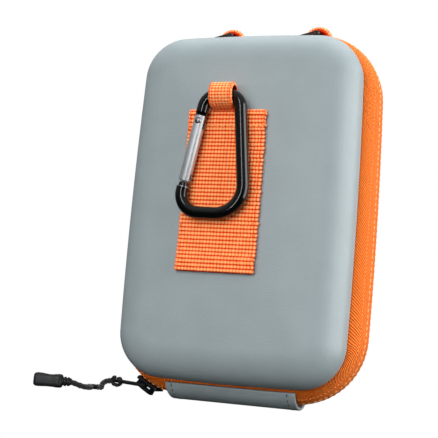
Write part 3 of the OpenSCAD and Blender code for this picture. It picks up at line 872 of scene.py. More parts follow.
def set_stage():
    """A white backdrop all round, and soft boxes above, to the right and in front.

    The camera sees plain white. What lights the case is a room that is dark below and pale above,
    by the direction in the room alone.
    """
    scene = bpy.context.scene
    scene.view_settings.view_transform = "Standard"
    set_camera()
    world = bpy.data.worlds.new("Pale room")
    world.use_nodes = True
    scene.world = world
    sky = world.node_tree
    sky.nodes.clear()
    seen = add(sky, "ShaderNodeBackground", {"Color": (1, 1, 1, 1), "Strength": 1.0})
    toward = add(sky, "ShaderNodeNewGeometry").outputs["Incoming"]
    upward = add(sky, "ShaderNodeSeparateXYZ", {"Vector": toward}).outputs["Z"]
    level = add(sky, "ShaderNodeMapRange", {"Value": upward, "From Min": 0.05, "From Max": -0.8,
                                            "To Min": 0.02, "To Max": 0.5})
    lit = add(sky, "ShaderNodeBackground", {"Color": (0.97, 0.99, 1, 1),
                                            "Strength": level.outputs["Result"]})
    path = add(sky, "ShaderNodeLightPath")
    mix = add(sky, "ShaderNodeMixShader", {0: path.outputs["Is Camera Ray"], 1: lit.outputs[0],
                                           2: seen.outputs[0]})
    add(sky, "ShaderNodeOutputWorld", {"Surface": mix.outputs[0]})
    middle = (0, 0, 0.065)
    soft_box("Top soft box", (0.02, 0.1, 0.6), middle, (0.6, 0.4), 5.0, mirrored=False)
    soft_box("Side soft box", (0.55, 0.05, 0.16), middle, (0.7, 0.55), 5.2)
    soft_box("Narrow soft box", (0.02, -0.9, 0.2), middle, (0.06, 0.7), 2.3)
    soft_box("Front soft box", (-0.2, -0.85, 0.38), middle, (0.6, 0.4), 2.8, mirrored=False)
    soft_box("Low soft box", (-0.2, -0.7, 0.03), (0, 0, 0.01), (0.5, 0.05), 1.7, mirrored=False)


# Pull cord ----------------------------------------------------------------------------------

CORD_ROUTE = [(-43.8, 4, 3.9), (-46.4, 4.6, 3.6), (-48.6, 6.2, 2.8), (-50.1, 8.4, 1.8), (-51.2, 10.6, 1.1),
              (-53, 11.9, 1), (-54.8, 10.9, 1), (-55, 8.8, 1), (-54, 6.6, 1), (-52.6, 4.4, 1),
              (-51.4, 2.1, 1), (-51.5, -0.4, 1), (-52.8, -2.3, 1.3), (-55, -3.3, 2), (-56.4, -3.7, 2.3)]
BRAID_PICK = 1.9
BRAID_RELIEF = 0.09
STRANDS = 4
END_REACH = 12.1  # from the cord's last point to the moulded end's tip
PAD_MIDDLE = 7.4
PAD_LONG = 3.2
PAD_WIDE = 1.5
PAD_DEPTH = 0.35


def braid(distance, angle):
    """Height of the braid's strands over the cord: two families that cross."""
    turn = 2 * math.pi * distance / BRAID_PICK / STRANDS * 2
    return BRAID_RELIEF * (2 * abs(math.sin(STRANDS / 2 * angle + turn)
                                   * math.sin(STRANDS / 2 * angle - turn)) - 1)


def braided(name, path, radius):
    return sweep(name, even_path(path, 0.16), radius, finish("Braided polyester"), 24, relief=braid)


def end_rings(start, along, sideways):
    """The moulded end: a ribbed neck, a flared body with a waist, and a rounded tip."""
    low, high = box_mm("cord_end")
    stations = [(-0.6, 1.15), (0, 1.35), (0.25, 1.6), (0.8, 1.6), (0.95, 1.3), (1.25, 1.3), (1.4, 1.7),
                (2.0, 1.7), (2.15, 1.4), (2.5, 1.5), (2.8, 2.15), (3.4, 2.42), (4.4, 2.46), (6.4, 2.32),
                (8.4, 2.32), (10.4, 2.44), (11.8, 2.48), (12.4, 2.35), (12.85, 1.95), (13, 1.3)]
    tall = (high.z - low.z) / 2
    scale = END_REACH / stations[-1][0]
    rings = []
    for away, half in smooth_stations(stations):
        height = min(half * 0.93, tall)
        middle = Vector((start.x, start.y, tall)) + along * away * scale
        power = 0.5 if away > 2.8 else 1.0
        ring = []
        for k in range(40):
            c, s = math.cos(2 * math.pi * k / 40), math.sin(2 * math.pi * k / 40)
            wide = math.copysign(abs(c) ** power, c) * half
            rise = math.copysign(abs(s) ** power, s) * height
            if away > 3.2 and rise > 0:
                rise -= PAD_DEPTH * pad(away, wide)
            ring.append(middle + sideways * wide + Z_AXIS * rise)
        rings.append(ring)
    return rings


def pad(away, wide):
    """The thumb recess, 1 in its oval on the moulded end's upper face and 0 outside it."""
    share = ((away - PAD_MIDDLE) / PAD_LONG) ** 2 + (wide / PAD_WIDE) ** 2
    return max(0.0, min(1.0, (1.25 - share) / 0.5))


def smooth_stations(stations):
    """The same (distance, half width) profile with stations at most about 0.3 mm apart."""
    result = []
    for (a, ra), (b, rb) in zip(stations, stations[1:]):
        steps = max(1, round((b - a) / 0.3))
        result += [(a + (b - a) * i / steps, ra + (rb - ra) * (i / steps)) for i in range(steps)]
    return result + [stations[-1]]


def make_cord():
    """The braided cord on its route, its moulded end, and the hitch round the tab's eye."""
    route = [Vector(p) for p in CORD_ROUTE]
    path = smooth_path(route, 6)
    _, _, _, hardware = props()
    cord = braided("pull_cord_braid", path, hardware.cord / MM / 2)
    place(cord, "pull", "cord_braid", "pull_cord")
    along = route[-1] - route[-2]
    along.z = 0
    along.normalize()
    rubber = loft("cord_end_moulding", end_rings(route[-1], along, Vector((-along.y, along.x, 0))),
                  finish("Moulded rubber"), caps=True)
    place(rubber, "pull", "cord_end_rubber", "cord_end")
    start = route[0]
    eye = [Vector((start.x + x, start.y + y, start.z + z)) for x, y, z in
           ((0.9, 0.5, 0.5), (1.7, 0.75, 0.9), (2.5, 0.3, 0.3), (2.35, 0.2, -0.9), (1.2, 0.15, -1.35),
            (-0.1, 0.05, -1.0), (-0.7, -0.1, 0.0), (-0.1, -0.35, 0.95), (0.8, -0.3, 1.25))]
    knot = braided("pull_cord_hitch", smooth_path(eye, 10), 0.62)
    place(knot, "pull", "cord_braid")


# Shells, linings and bindings ---------------------------------------------------------------

def dish_rings(side, depth, seam, out, wall, lip, fall=0.0):
    """Rings of a dished shell, from the face's middle round the edge and back to the middle."""
    shells = props()[0]
    outer_r = shells.rounding / MM - out
    inner_r = outer_r - wall
    turn = depth - outer_r

    def face(level, r, edge, shares):
        base = ring_at(-edge - r, 0, side)
        rings = []
        for share in shares:
            sunk = level - fall * share ** 4
            rings.append([Vector((p.x * share, ZIP_Y + side * sunk, MID_Z + (p.z - MID_Z) * share))
                          for p in base])
        return rings

    shares = (0.02, 0.15, 0.3, 0.45, 0.6, 0.72, 0.82, 0.9, 0.96)
    rings = face(depth, outer_r, out, shares)
    for angle in spread(math.pi / 2, 0, 14):
        drop = fall * (0.5 + 0.5 * math.sin(angle)) * math.sin(angle)
        off = -out - outer_r * (1 - math.cos(angle))
        rings.append(ring_at(off, turn + outer_r * math.sin(angle) - drop, side))
    for share in spread(0, 1, 5)[1:-1]:
        rings.append(ring_at(-out, turn + (seam + lip - turn) * share, side))
    for angle in spread(0, math.pi / 2, 5):
        rings.append(ring_at(-out - lip * (1 - math.cos(angle)), seam + lip * (1 - math.sin(angle)), side))
    inner_lip = min(lip, wall - lip) * 0.8
    for angle in spread(math.pi / 2, 0, 3):
        off = -out - wall + inner_lip * (1 - math.cos(angle))
        rings.append(ring_at(off, seam + inner_lip * (1 - math.sin(angle)), side))
    for angle in spread(0, math.pi / 2, 10):
        off = -out - wall - inner_r * (1 - math.cos(angle))
        rings.append(ring_at(off, turn + inner_r * math.sin(angle), side))
    return rings + face(depth - wall, inner_r, out + wall, tuple(reversed(shares)))


LINING_GAP = 0.95
LINING_T = 0.8
DEPTHS = {-1: REAR_DEPTH, 1: FRONT_DEPTH}
BODIES = {-1: "case_rear", 1: "case_front"}
ENDS = {-1: "rear", 1: "front"}


def make_shells():
    """Each half's moulded shell, its fleece lining and its binding."""
    shells = props()[0]
    wall = shells.wall / MM
    inset = wall + LINING_GAP
    for side in (-1, 1):
        depth, label, body = DEPTHS[side], ENDS[side], BODIES[side]
        rings = dish_rings(side, depth, BAND_HALF, 0, wall, shells.lip / MM, fall=0.55)
        shell = loft(f"{label}_shell_skin", rings, finish("Grey PU leather"), caps=True)
        place(shell, body, "shell_skin", f"{label}_shell")
        rings = dish_rings(side, depth - inset, BAND_HALF + 0.4, inset, LINING_T, 0.35)
        lining = loft(f"{label}_lining_fleece", rings, finish("Brushed fleece"), caps=True)
        place(lining, body, "lining_fleece", f"{label}_lining")
        make_binding(side, label, body, inset + LINING_T + 0.1)


def make_binding(side, label, body, near):
    """Woven binding over the seam's raw edge: a flat band with round hems, stitched twice."""
    thick, low = 0.5, BAND_HALF - 0.4
    high = low + 3.7
    rings = []
    for angle in spread(0, 2 * math.pi, 16)[:-1]:
        wide = math.copysign(abs(math.cos(angle)) ** 0.4, math.cos(angle)) * (high - low) / 2
        rise = math.copysign(abs(math.sin(angle)) ** 0.6, math.sin(angle)) * thick / 2
        rings.append(ring_at(-near - thick / 2 + rise, (low + high) / 2 + wide, side))
    binding = loft(f"{label}_binding_tape", rings, finish("Black binding"), wrap=True)
    place(binding, body, "binding_weave", f"{label}_binding")
    rows = [ring_at(-near - thick, level, side) for level in (low + 0.8, high - 0.8)]
    sewn = stitches(f"{label}_binding_stitches", rows, 2.4, 1.7, 0.28, "Black thread", closed=True)
    place(sewn, body, "binding_weave")


# Zip ----------------------------------------------------------------------------------------

BAND_BASE = -1.4
POST_GAP = 0.55
SEAM_GAP = 0.15
RIDGE_INSET = 3.6  # nominal, from the shells' corner centres in to the ridge's
POST_REACH = 2.0  # the gap for the slider's post runs this far above the corner's centre
COIL_TALL, COIL_WIDE = 1.7, 1.9
COIL_WIRE, COIL_CORE = 0.62, 0.9


def band_point(angle, inset):
    """The band's bulge as (beyond the shells' edge, from the zip's plane)."""
    off = BAND_BASE + (RIDGE_H - BAND_BASE - inset) * math.sin(angle)
    return off, (BAND_HALF - 0.2 - inset) * math.cos(angle)


def ridge_core():
    """The centre of the ridge's corner arcs, which is inside that of the shells' own arcs."""
    shells, zipper, _, _ = props()
    shift = (zipper.ridge_corner - shells.corner) / MM - RIDGE_H
    core_x, core_z = core(shells.corner / MM)
    return core_x - shift, core_z - shift


def lip_ring(off, extra, side):
    """The tape's edge at the centre line, which stands apart where the slider's post runs."""
    ring = ring_at(off, 0, side)
    low = MID_Z - (core(props()[0].corner / MM)[1] - RIDGE_INSET) + POST_REACH
    for p in ring:
        parted = p.x < -HINGE_HALF and p.z < low
        p.y += side * ((POST_GAP if parted else SEAM_GAP) + extra)
    return ring


def make_zip_tape(side):
    """One half of the tape: a hem inside the shell, the bulge, and the lip at the centre line."""
    shells, zipper, _, _ = props()
    tape = zipper.tape / MM
    hem = -shells.wall / MM - 0.1
    hem_far = BAND_HALF + 3
    rings = [ring_at(hem, hem_far, side), ring_at(hem, BAND_HALF - 0.1, side)]
    angles = spread(math.radians(8), math.radians(82), 16)
    rings += [ring_at(*band_point(a, 0), side) for a in angles]
    rings += [lip_ring(RIDGE_H - 0.03, 0.6, side), lip_ring(RIDGE_H - 0.12, 0.28, side),
              lip_ring(RIDGE_H - 0.3, 0.08, side), lip_ring(RIDGE_H - tape / 2 - 0.1, 0, side),
              lip_ring(RIDGE_H - tape + 0.05, 0.05, side)]
    rings += [ring_at(*band_point(a, tape), side) for a in reversed(angles)]
    rings += [ring_at(hem - tape, BAND_HALF - 0.3, side), ring_at(hem - tape, hem_far, side)]
    return loft(f"zip_tape_{ENDS[side]}_twill", rings, finish("Orange zip twill"), wrap=True)


def make_zip():
    """Both tapes with their two rows of stitches, their coils and their end stops."""
    _, zipper, _, _ = props()
    thread = zipper.thread / MM
    pitch = zipper.stitch / MM
    for side in (-1, 1):
        label, body = ENDS[side], BODIES[side]
        place(make_zip_tape(side), body, "zip_tape", f"zip_tape_{label}")
        near = ring_at(*band_point(math.radians(71), 0.02), side)
        sewn = stitches(f"zip_stitches_{label}", [near], pitch, pitch * 0.66, thread * 1.2,
                        "Pale orange thread", closed=True)
        place(sewn, body, "zip_tape")
        far = ring_at(*band_point(math.radians(47), 0.02), side)
        picks = stitches(f"zip_picks_{label}", [far], pitch * 0.65, pitch * 0.34, thread * 1.1,
                         "Orange thread", closed=True, lean=0.5)
        place(picks, body, "zip_tape")
        make_coil(side, label, body)
        stop = from_node(f"zip_stop_{label}_staple", f"zip_stop_{label}", finish("Pressed aluminium"),
                         0.2)
        place(stop, body, "stop_metal", f"zip_stop_{label}")


def make_coil(side, label, body):
    """The coil's turns behind the tape, and the core that they are wound on."""
    _, zipper, _, _ = props()
    sunk = ZIP_HIGH.x - box_mm(f"zip_coil_{label}")[1].x
    corner = zipper.ridge_corner / MM - sunk - COIL_TALL / 2
    run = [Vector((x, ZIP_Y + side * (POST_GAP + COIL_WIDE / 2), MID_Z + z))
           for x, z in closed_outline(*ridge_core(), corner)]
    turns = grown(f"zip_coil_{label}_turns", coil_tree(), [run],
                  {"Pitch": zipper.turn, "Width": COIL_WIDE * MM, "Height": COIL_TALL * MM,
                   "Wire": COIL_WIRE * MM, "Material": finish("Polyester coil")}, closed=True)
    place(turns, body, "zip_coil", f"zip_coil_{label}")
    filler = grown(f"zip_coil_{label}_core", rod_tree(), [run],
                   {"Diameter": COIL_CORE * MM, "Sides": 8, "Material": finish("Polyester coil")},
                   closed=True)
    place(filler, body, "zip_coil")


def make_slider():
    """The slider and its tab, in their CAD shapes with eased edges."""
    slider = from_node("zip_slider_casting", "zip_slider", finish("Black nickel plate"), 0.22)
    place(slider, "slider", "plated_metal", "zip_slider")
    tab = from_node("pull_tab_casting", "pull_tab", finish("Black nickel plate"), 0.28)
    place(tab, "pull", "plated_metal", "pull_tab")


# Hinge --------------------------------------------------------------------------------------

def hinge_bend(half):
    """Where the cloth bends as the case opens: across the zip's plane, half wide each way."""
    return ("case_front", (0, (ZIP_Y - half) * MM, 0), (0, (ZIP_Y + half) * MM, 0))


def strip_path(lift):
    """The strip's fold under the case, at a distance outside the band."""
    base = MID_Z - SHELL_H / 2
    points = []
    for angle in spread(math.radians(18), math.radians(162), 44):
        off, y = band_point(angle, -lift)
        points.append(Vector((0, ZIP_Y + y, base - off)))
    return points


def make_hinge():
    """The folded PU strip under the case, its stitches, and the flat lining above it."""
    gap, thick = 0.3, 1.0
    path = strip_path(gap + thick / 2)
    strip = strap("hinge_strip_skin", path, X_AXIS, 2 * HINGE_HALF, thick, finish("Darker PU strip"))
    place(strip, "case_rear", "strip_skin", "hinge_strip", across=hinge_bend(6))
    line = strip_path(gap + thick - 0.08)
    rows = [[p + X_AXIS * x for p in line[2:-2]] for x in (2.2 - HINGE_HALF, HINGE_HALF - 2.6)]
    sewn = stitches("hinge_strip_stitches", rows, 2.1, 1.5, 0.4, "Black thread")
    place(sewn, "case_rear", "strip_skin", across=hinge_bend(6))
    low, high = box_mm("hinge_lining")
    level = (low.z + high.z) / 2
    flat = [Vector((0, y, level)) for y in spread(low.y, high.y, 24)]
    lining = strap("hinge_lining_fleece", flat, X_AXIS, high.x - low.x, 0.6, finish("Brushed fleece"))
    place(lining, "case_rear", "lining_fleece", "hinge_lining", across=hinge_bend(9))


# Webbing ------------------------------------------------------------------------------------

WEB_T = 0.85
TOP_HEM, FOOT_HEM = 6.5, 4.5  # the folded ends, behind the face
TOP_STEP = (5.6, 8.6)  # the face steps in below the upper hem, between these distances
FOOT_STEP = (4.2, 6.8)


def web_path():
    """The belt loop's tape in the YZ plane: hem, fold, down the front, fold, hem."""
    x = (WEB_LOW.x + WEB_HIGH.x) / 2
    face = WEB_HIGH.y - 0.02
    inner, outer = face - WEB_T / 2, face - 1.5 * WEB_T
    mid = face - 0.35 - WEB_T / 2
    top, foot = WEB_HIGH.z, WEB_LOW.z
    r = WEB_T / 2
    path = [Vector((x, inner, z)) for z in spread(top - TOP_HEM, top - 2 * r, 6)]
    path += [Vector((x, (inner + outer) / 2 + r * math.cos(a), top - 2 * r + r * math.sin(a)))
             for a in spread(0, math.pi, 6)[1:-1]]
    path += [Vector((x, outer, z)) for z in spread(top - 2 * r, top - TOP_STEP[0], 6)]
    path += [Vector((x, mid, z)) for z in spread(top - TOP_STEP[1], foot + FOOT_STEP[1], 40)]
    path += [Vector((x, outer, z)) for z in spread(foot + FOOT_STEP[0], foot + 2 * r, 5)]
    path += [Vector((x, (inner + outer) / 2 - r * math.cos(a), foot + 2 * r - r * math.sin(a)))
             for a in spread(0, math.pi, 6)[1:-1]]
    path += [Vector((x, inner, z)) for z in spread(foot + 2 * r, foot + FOOT_HEM, 5)]
    return path


def selvedge(path):
    """How far the webbing's edges stray: the hems creep to the right, the rest wavers."""
    def edge(i, side):
        z = path[i].z
        if side < 0:
            return 0.06 * math.sin(z * 0.9) - 0.1
        upper = smooth(WEB_HIGH.z - 8.5, WEB_HIGH.z - 5.5, z)
        lower = smooth(WEB_LOW.z + 9, WEB_LOW.z + 3, z)
        return 0.55 * (upper + 0.6 * lower) + 0.12 * math.sin(z * 1.9) + 0.08 * math.sin(z * 3.7 + 1) - 0.45
    return edge


def smooth(low, high, value):
    """A soft step from 0 at low to 1 at high."""
    t = min(max((value - low) / (high - low), 0), 1)
    return t * t * (3 - 2 * t)


def make_webbing():
    """The belt loop: a ground strap, the yarn bumps over it, and three rows of stitches."""
    _, _, webbing, _ = props()
    course = webbing.course / MM
    width = WEB_HIGH.x - WEB_LOW.x
    fine = even_path(web_path(), 0.4)
    base = strap("belt_webbing_ground", fine, X_AXIS, width, WEB_T - 0.2, finish("Webbing ground"),
                 edge=selvedge(fine))
    place(base, "case_rear", "webbing", "belt_webbing")
    rows = even_path(web_path(), course)
    shown = [p for p in rows if p.y < WEB_HIGH.y - 0.75]
    yarns = ribs("belt_webbing_ribs", shown, X_AXIS, width, WEB_T / 2 - 0.15, edge=selvedge(shown))
    place(yarns, "case_rear", "webbing")
    front = WEB_LOW.y + 0.03
    x0, x1 = WEB_LOW.x + 0.7, WEB_HIGH.x - 0.7
    levels = (WEB_HIGH.z - 1.5, WEB_HIGH.z - 5.6, WEB_LOW.z + 3.6)
    lines = [[Vector((x, front, z)) for x in spread(x0, x1, 30)] for z in levels]
    sewn = stitches("belt_webbing_stitches", lines, 1.7, 1.5, 0.42, "Orange thread")
    place(sewn, "case_rear", "webbing")


def hook_tape_path():
    """The narrow tape from behind the webbing's top edge, round the rod and back."""
    x = (TAPE_LOW.x + TAPE_HIGH.x) / 2
    back = TAPE_HIGH.y - 0.45
    middle_y = TAPE_LOW.y + 3.9
    middle_z = TAPE_HIGH.z - 3.9
    r = 3.55
    path = [Vector((x, back, z)) for z in spread(TAPE_LOW.z + 0.2, middle_z - 1, 4)]
    path += [Vector((x, middle_y + r * math.cos(a), middle_z + r * math.sin(a)))
             for a in spread(math.radians(8), math.radians(275), 40)]
    path += [Vector((x, middle_y + 1.7, TAPE_LOW.z + 0.15)), Vector((x, back - 0.9, TAPE_LOW.z + 0.35))]
    return path


def make_hook_tape():
    path = hook_tape_path()
    width = TAPE_HIGH.x - TAPE_LOW.x - 0.3
    base = strap("hook_tape_ground", even_path(path, 0.3), X_AXIS, width, 0.5, finish("Webbing ground"))
    place(base, "case_rear", "webbing", "hook_tape")
    yarns = ribs("hook_tape_ribs", even_path(path, 0.98), X_AXIS, width, 0.2)
    place(yarns, "case_rear", "webbing")


def loop_path(middle, reach, top, foot):
    """An upright loop in the XZ plane: a half round on top, straight legs and a flat foot."""
    bend = 0.8
    path = [Vector((middle.x + reach * math.cos(a), middle.y, top + reach * math.sin(a)))
            for a in spread(0, math.pi, 20)]
    path += [Vector((middle.x - reach, middle.y, z)) for z in spread(top, foot + bend, 8)[1:]]
    path += [Vector((x, middle.y, foot))
             for x in spread(middle.x - reach + bend, middle.x + reach - bend, 8)]
    path += [Vector((middle.x + reach, middle.y, z)) for z in spread(foot + bend, top, 8)[:-1]]
    return list(reversed(path))


def make_strap_loops():
    """Upright loops of doubled tape on the case's top. Only the outer layer shows its ribs."""
    for label in ("left", "right"):
        node = f"strap_loop_{label}"
        low, high = box_mm(node)
        width, r = high.y - low.y, (high.x - low.x) / 2
        for layer, inset in (("outer", 0.4), ("inner", 1.12)):
            path = loop_path((low + high) / 2, r - inset, high.z - r, low.z + inset)
            base = strap(f"{node}_{layer}", path, Y_AXIS, width - 0.2, 0.62, finish("Webbing ground"),
                         closed=True)
            if layer == "inner":
                place(base, "case_front", "webbing")
                continue
            place(base, "case_front", "webbing", node)
            rows = even_path(path + path[:1], 1.1)[:-1]
            yarns = ribs(f"{node}_ribs", rows, Y_AXIS, width - 0.3, 0.16, closed=True)
            place(yarns, "case_front", "webbing")


# Hook ---------------------------------------------------------------------------------------

TOP_R, LOW_R, LOW_RIGHT_R = 4.5, 6.0, 8.5
TOP_LEFT_X, TOP_RIGHT_X = -5.9, -2.6
LOW_RIGHT_X, LOW_LEFT_X = -3.8, -9.0
ROD_DROP = 3.9  # from the tape's highest point to the rod's centre line
RIVET_UP = 22.4  # from the gate's foot to its rivet


def leave(c0, r0, c1, r1):
    """Angle on the first arc where the line to the next arc leaves it."""
    v = (c1[0] - c0[0], c1[1] - c0[1])
    return math.atan2(v[1], v[0]) + math.pi / 2 - math.asin((r0 - r1) / math.hypot(*v))


def on_arc(centre, r, a):
    """The point at angle a on an arc."""
    return centre[0] + r * math.cos(a), centre[1] + r * math.sin(a)


def hook_layout():
    """Centres of the rod's four arcs in the XZ plane, clockwise from the top left."""
    top_z = TAPE_HIGH.z - ROD_DROP - TOP_R
    return ((TOP_LEFT_X, top_z), (TOP_RIGHT_X, top_z),
            (LOW_RIGHT_X, MID_Z + 3.0), (LOW_LEFT_X, MID_Z + 0.6))


def make_hook():
    """The rod from the rivet round to the gate's foot, with its nose, shoulder, tongue and gate."""
    _, _, _, hardware = props()
    top_left, top_right, low_right, low_left = hook_layout()
    gate_a = leave(low_left, LOW_R, top_left, TOP_R)
    top_a = leave(top_left, TOP_R, top_right, TOP_R)
    spine_a = leave(top_right, TOP_R, low_right, LOW_RIGHT_R)
    low_a = leave(low_right, LOW_RIGHT_R, low_left, LOW_R) % (2 * math.pi)
    foot = on_arc(low_left, LOW_R, gate_a)
    head = on_arc(top_left, TOP_R, gate_a)
    lean = Vector((head[0] - foot[0], 0, head[1] - foot[1])).normalized()
    low, high = box_mm("hook_body")
    y = (low.y + high.y) / 2
    foot = Vector((foot[0], y, foot[1]))
    rivet = foot + lean * RIVET_UP

    def bend(centre, r, first, last):
        steps = max(4, round(abs(last - first) / math.radians(4)))
        ends = [on_arc(centre, r, a) for a in spread(first, last, steps)]
        return [Vector((x, y, z)) for x, z in ends]

    path = [rivet + lean * 3.0]
    path += bend(top_left, TOP_R, gate_a, top_a)
    path += bend(top_right, TOP_R, top_a, spine_a)
    path += bend(low_right, LOW_RIGHT_R, spine_a, low_a - 2 * math.pi)
    path += bend(low_left, LOW_R, low_a, gate_a)
    path += [foot + lean * 0.9]
    rod = hardware.rod / MM
    body = grown("hook_rod", rod_tree(), [even_path(path, 0.5)],
                 {"Diameter": hardware.rod, "Sides": 40, "Material": finish("Gloss black rod")})
    place(body, "hook", "hook_black", "hook_body")
    collar = [(0.7, rod / 2), (1.0, rod / 2), (1.15, rod / 2 - 0.12), (1.2, rod / 2 - 0.45), (2.2, 1.55),
              (2.45, 1.45), (2.6, 1.1)]
    nose = turned("hook_nose", foot, lean, collar, finish("Gloss black rod"))
    place(nose, "hook", "hook_black")
    # A pale metal band on the nose's shoulder: a painted highlight, standing in for the streak that the
    # black rod's chamfer catches.
    band = [(0.86, 1.6), (0.86, rod / 2 + 0.09), (1.08, rod / 2 + 0.09), (1.08, 1.6)]
    ring = turned("hook_nose_ring", foot, lean, band, finish("Pressed aluminium"))
    place(ring, "hook", "hook_black")
    step = [(3.3, rod / 2 - 0.02), (2.9, rod / 2), (2.65, rod / 2 - 0.15), (2.6, 0.8)]
    shoulder = turned("hook_shoulder", rivet, lean, step, finish("Gloss black rod"))
    place(shoulder, "hook", "hook_black")
    make_tongue(rivet, lean)
    make_gate(rivet)


def make_tongue(rivet, lean):
    """The flat tongue that the gate turns on."""
    half, reach, half_thick = 1.7, 3.2, 0.6
    side = Vector((lean.z, 0, -lean.x))
    edge = [rivet + (side * math.cos(a) + lean * math.sin(a)) * half
            for a in spread(math.pi, 2 * math.pi, 20)]
    edge += [rivet + side * half + lean * reach, rivet - side * half + lean * reach]
    layers = [[p + Y_AXIS * d for p in edge] for d in (-half_thick, half_thick)]
    tongue = loft("hook_tongue", layers, finish("Gloss black rod"), caps=True)
    tongue.data.set_sharp_from_angle(angle=SHARP_EDGE)
    place(tongue, "hook", "hook_black")


def turned(name, start, axis, profile, material, sides=40):
    """A turned form: (distance along the axis, radius) pairs, with closed ends."""
    side = axis.orthogonal().normalized()
    other = axis.cross(side)
    rings = [[start + axis * away + (side * math.cos(a) + other * math.sin(a)) * r
              for a in spread(0, 2 * math.pi, sides)[:-1]] for away, r in profile]
    piece = loft(name, rings, material, caps=True)
    piece.data.set_sharp_from_angle(angle=SHARP_EDGE)
    return piece


def make_gate(rivet):
    """The gate's tube, its riveted heads, and the spring and plunger inside it."""
    gate = from_node("hook_gate_tube", "hook_gate", finish("Brushed aluminium"), 0.12)
    place(gate, "gate", "gate_metal", "hook_gate")
    dome = [(0.0, 0.72), (1.55, 0.72), (1.62, 1.05), (1.8, 1.12), (2.05, 1.02), (2.25, 0.78), (2.38, 0.42),
            (2.42, 0.08)]
    for label, side in (("front", -1), ("back", 1)):
        head = turned(f"gate_rivet_{label}", rivet, Y_AXIS * side, dome, finish("Pressed aluminium"))
        nodes = ("gate_rivet",) if side < 0 else ()
        place(head, "gate", "gate_metal", *nodes)
    for node in ("gate_spring", "gate_plunger"):
        dress(node, "Spring steel")


def dress(node, material):
    """A CAD node keeps its shape and takes a finish."""
    data = frame["nodes"][node].data
    data.materials.clear()
    data.materials.append(finish(material))


RING_HALF = 4.7
RING_ARM = 6.5
RING_TILT = math.radians(15)


def ring_outline():
    """A D of wire: a straight bar with small corners, two arms and a half round."""
    half, arm = RING_HALF, RING_ARM
    flat = [(0, y) for y in spread(-half + 0.7, half - 0.7, 8)]
    flat += [(-0.2, half - 0.2), (-0.7, half)]
    flat += [(x, half) for x in spread(-0.9, -arm, 8)]
    flat += [(-arm - half * math.sin(a), half * math.cos(a)) for a in spread(0, math.pi, 28)[1:-1]]
    flat += [(x, -half) for x in spread(-arm, -0.9, 8)]
    return flat + [(-0.7, -half), (-0.2, -half + 0.2)]


def make_rings():
    """A wire ring in each strap loop, tilted about its bar."""
    _, _, _, hardware = props()
    joints = {joint["name"]: joint for joint in frame["record"]["behaviour"]["joints"]}
    for label in ("left", "right"):
        pivot = Vector(joints[f"ring_{label}_swing"]["pos_m"]) / MM
        path = [pivot + Vector((x * math.cos(RING_TILT), y, x * math.sin(RING_TILT)))
                for x, y in ring_outline()]
        ring = grown(f"ring_{label}_wire", rod_tree(), [path],
                     {"Diameter": hardware.ring_wire, "Sides": 24, "Material": finish("Satin black wire")},
                     closed=True)
        place(ring, f"ring_{label}", "ring_black", f"ring_{label}")


# Net pocket ---------------------------------------------------------------------------------

NET_CORNER = 6.0
NET_STEP = 2.2
NET_THREAD = 0.34


def net_runs(half_w, half_h):
    """Two families of slanting threads, cut off at the pocket's rounded lower corners."""
    def inside(x, z):
        if abs(x) > half_w or abs(z) > half_h:
            return False
        dx, dz = abs(x) - half_w + NET_CORNER, -z - half_h + NET_CORNER
        return dx < 0 or dz < 0 or math.hypot(dx, dz) < NET_CORNER

    far = half_w + 2 * half_h
    for slope in (1, -1):
        for start in spread(-far, far, round(far * 2 / NET_STEP)):
            run = [(start + slope * z, 0.18 * slope * math.sin(2 * math.pi * z / NET_STEP), z)
                   for z in spread(-half_h, half_h, 90) if inside(start + slope * z, z)]
            if len(run) > 2:
                yield run


def make_pocket():
    """A net pocket in the front shell: crossing threads, a bound rim and an elastic edging."""
    low, high = box_mm("mesh_pocket")
    middle = Vector(((low.x + high.x) / 2, low.y + 0.4, (low.z + high.z) / 2))
    half_w, half_h = (high.x - low.x) / 2 - 0.6, (high.z - low.z) / 2 - 0.6
    runs = [[middle + Vector(p) for p in run] for run in net_runs(half_w, half_h)]
    net = grown("mesh_pocket_net", rod_tree(), runs,
                {"Diameter": NET_THREAD * MM, "Sides": 6, "Material": finish("Nylon net")})
    place(net, "case_front", "net", "mesh_pocket")
    turn_x, turn_z = half_w - NET_CORNER, half_h - NET_CORNER
    flat = [(-half_w, half_h)]
    flat += arc(-turn_x, -turn_z, NET_CORNER, spread(math.pi, 1.5 * math.pi, 10))
    flat += arc(turn_x, -turn_z, NET_CORNER, spread(1.5 * math.pi, 2 * math.pi, 10))
    flat += [(half_w, half_h)]
    rim = [middle + Vector((x, 0.4, z)) for x, z in flat]
    bound = strap("mesh_pocket_rim", even_path(rim, 0.8), Y_AXIS, 1.3, 0.6, finish("Black binding"))
    place(bound, "case_front", "net")
    edge_low, edge_high = box_mm("pocket_edging")
    edge = (edge_low + edge_high) / 2
    path = [Vector((x, edge.y + 0.15 * math.sin(x * 1.9), edge.z))
            for x in spread(edge_low.x, edge_high.x, 90)]
    edging = strap("pocket_edging_elastic", path, Z_AXIS, edge_high.z - edge_low.z, 0.6,
                   finish("Black binding"))
    place(edging, "case_front", "binding_weave", "pocket_edging")


# Operators ----------------------------------------------------------------------------------

class CasePiece:
    bl_options = {"REGISTER", "UNDO"}

    def execute(self, context):
        for make in self.makers:
            make()
        return {"FINISHED"}


class CASE_OT_stage(CasePiece, bpy.types.Operator):
    """Sets the backdrop, the lights and the camera"""
    bl_idname = "case.stage"
    bl_label = "Stage"
    makers = (set_stage,)


class CASE_OT_cord(CasePiece, bpy.types.Operator):
    """Braids the pull cord and moulds its end"""
    bl_idname = "case.cord"
    bl_label = "Pull cord"
    makers = (make_cord,)


class CASE_OT_shells(CasePiece, bpy.types.Operator):
    """Moulds the shells, linings and bindings"""
    bl_idname = "case.shells"
    bl_label = "Shells"
    makers = (make_shells,)


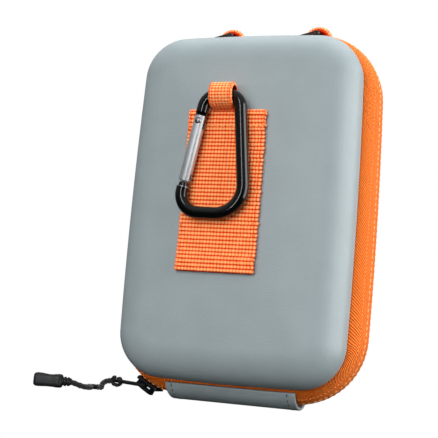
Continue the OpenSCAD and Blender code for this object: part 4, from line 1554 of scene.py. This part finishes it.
class CASE_OT_zip(CasePiece, bpy.types.Operator):
    """Sews the zip tapes and coils, and adds the slider and its tab"""
    bl_idname = "case.zip"
    bl_label = "Zip"
    makers = (make_zip, make_slider)


class CASE_OT_hinge(CasePiece, bpy.types.Operator):
    """Folds the hinge strip and lays its lining flat"""
    bl_idname = "case.hinge"
    bl_label = "Hinge"
    makers = (make_hinge,)


class CASE_OT_webbing(CasePiece, bpy.types.Operator):
    """Weaves the belt loop, the hook's tape and the strap loops"""
    bl_idname = "case.webbing"
    bl_label = "Webbing"
    makers = (make_webbing, make_hook_tape, make_strap_loops)


class CASE_OT_hardware(CasePiece, bpy.types.Operator):
    """Bends the hook and the strap rings"""
    bl_idname = "case.hardware"
    bl_label = "Hook and rings"
    makers = (make_hook, make_rings)


class CASE_OT_pocket(CasePiece, bpy.types.Operator):
    """Knits the net pocket"""
    bl_idname = "case.pocket"
    bl_label = "Net pocket"
    makers = (make_pocket,)


OPERATORS = (CASE_OT_stage, CASE_OT_cord, CASE_OT_shells, CASE_OT_zip, CASE_OT_hinge, CASE_OT_webbing,
             CASE_OT_hardware, CASE_OT_pocket)
GROUPS = {"case_shells": CaseShells, "case_zip": CaseZip, "case_webbing": CaseWebbing,
          "case_hardware": CaseHardware}


class CASE_PT_sidebar(bpy.types.Panel):
    bl_label = "Camera case"
    bl_idname = "CASE_PT_sidebar"
    bl_space_type = "VIEW_3D"
    bl_region_type = "UI"
    bl_category = "Case"

    def draw(self, context):
        for operator in OPERATORS:
            self.layout.operator(operator.bl_idname)


def register():
    for label, group in GROUPS.items():
        bpy.utils.register_class(group)
        setattr(bpy.types.Scene, label, PointerProperty(type=group))
    for cls in OPERATORS + (CASE_PT_sidebar,):
        bpy.utils.register_class(cls)


def unregister():
    for cls in reversed(OPERATORS + (CASE_PT_sidebar,)):
        bpy.utils.unregister_class(cls)
    for label, group in reversed(list(GROUPS.items())):
        delattr(bpy.types.Scene, label)
        bpy.utils.unregister_class(group)


def main():
    register()
    for operator in OPERATORS:
        group, name = operator.bl_idname.split(".")
        if getattr(getattr(bpy.ops, group), name)() != {"FINISHED"}:
            raise RuntimeError(f"{operator.bl_label} was not built")


if __name__ == "__main__":
    main()
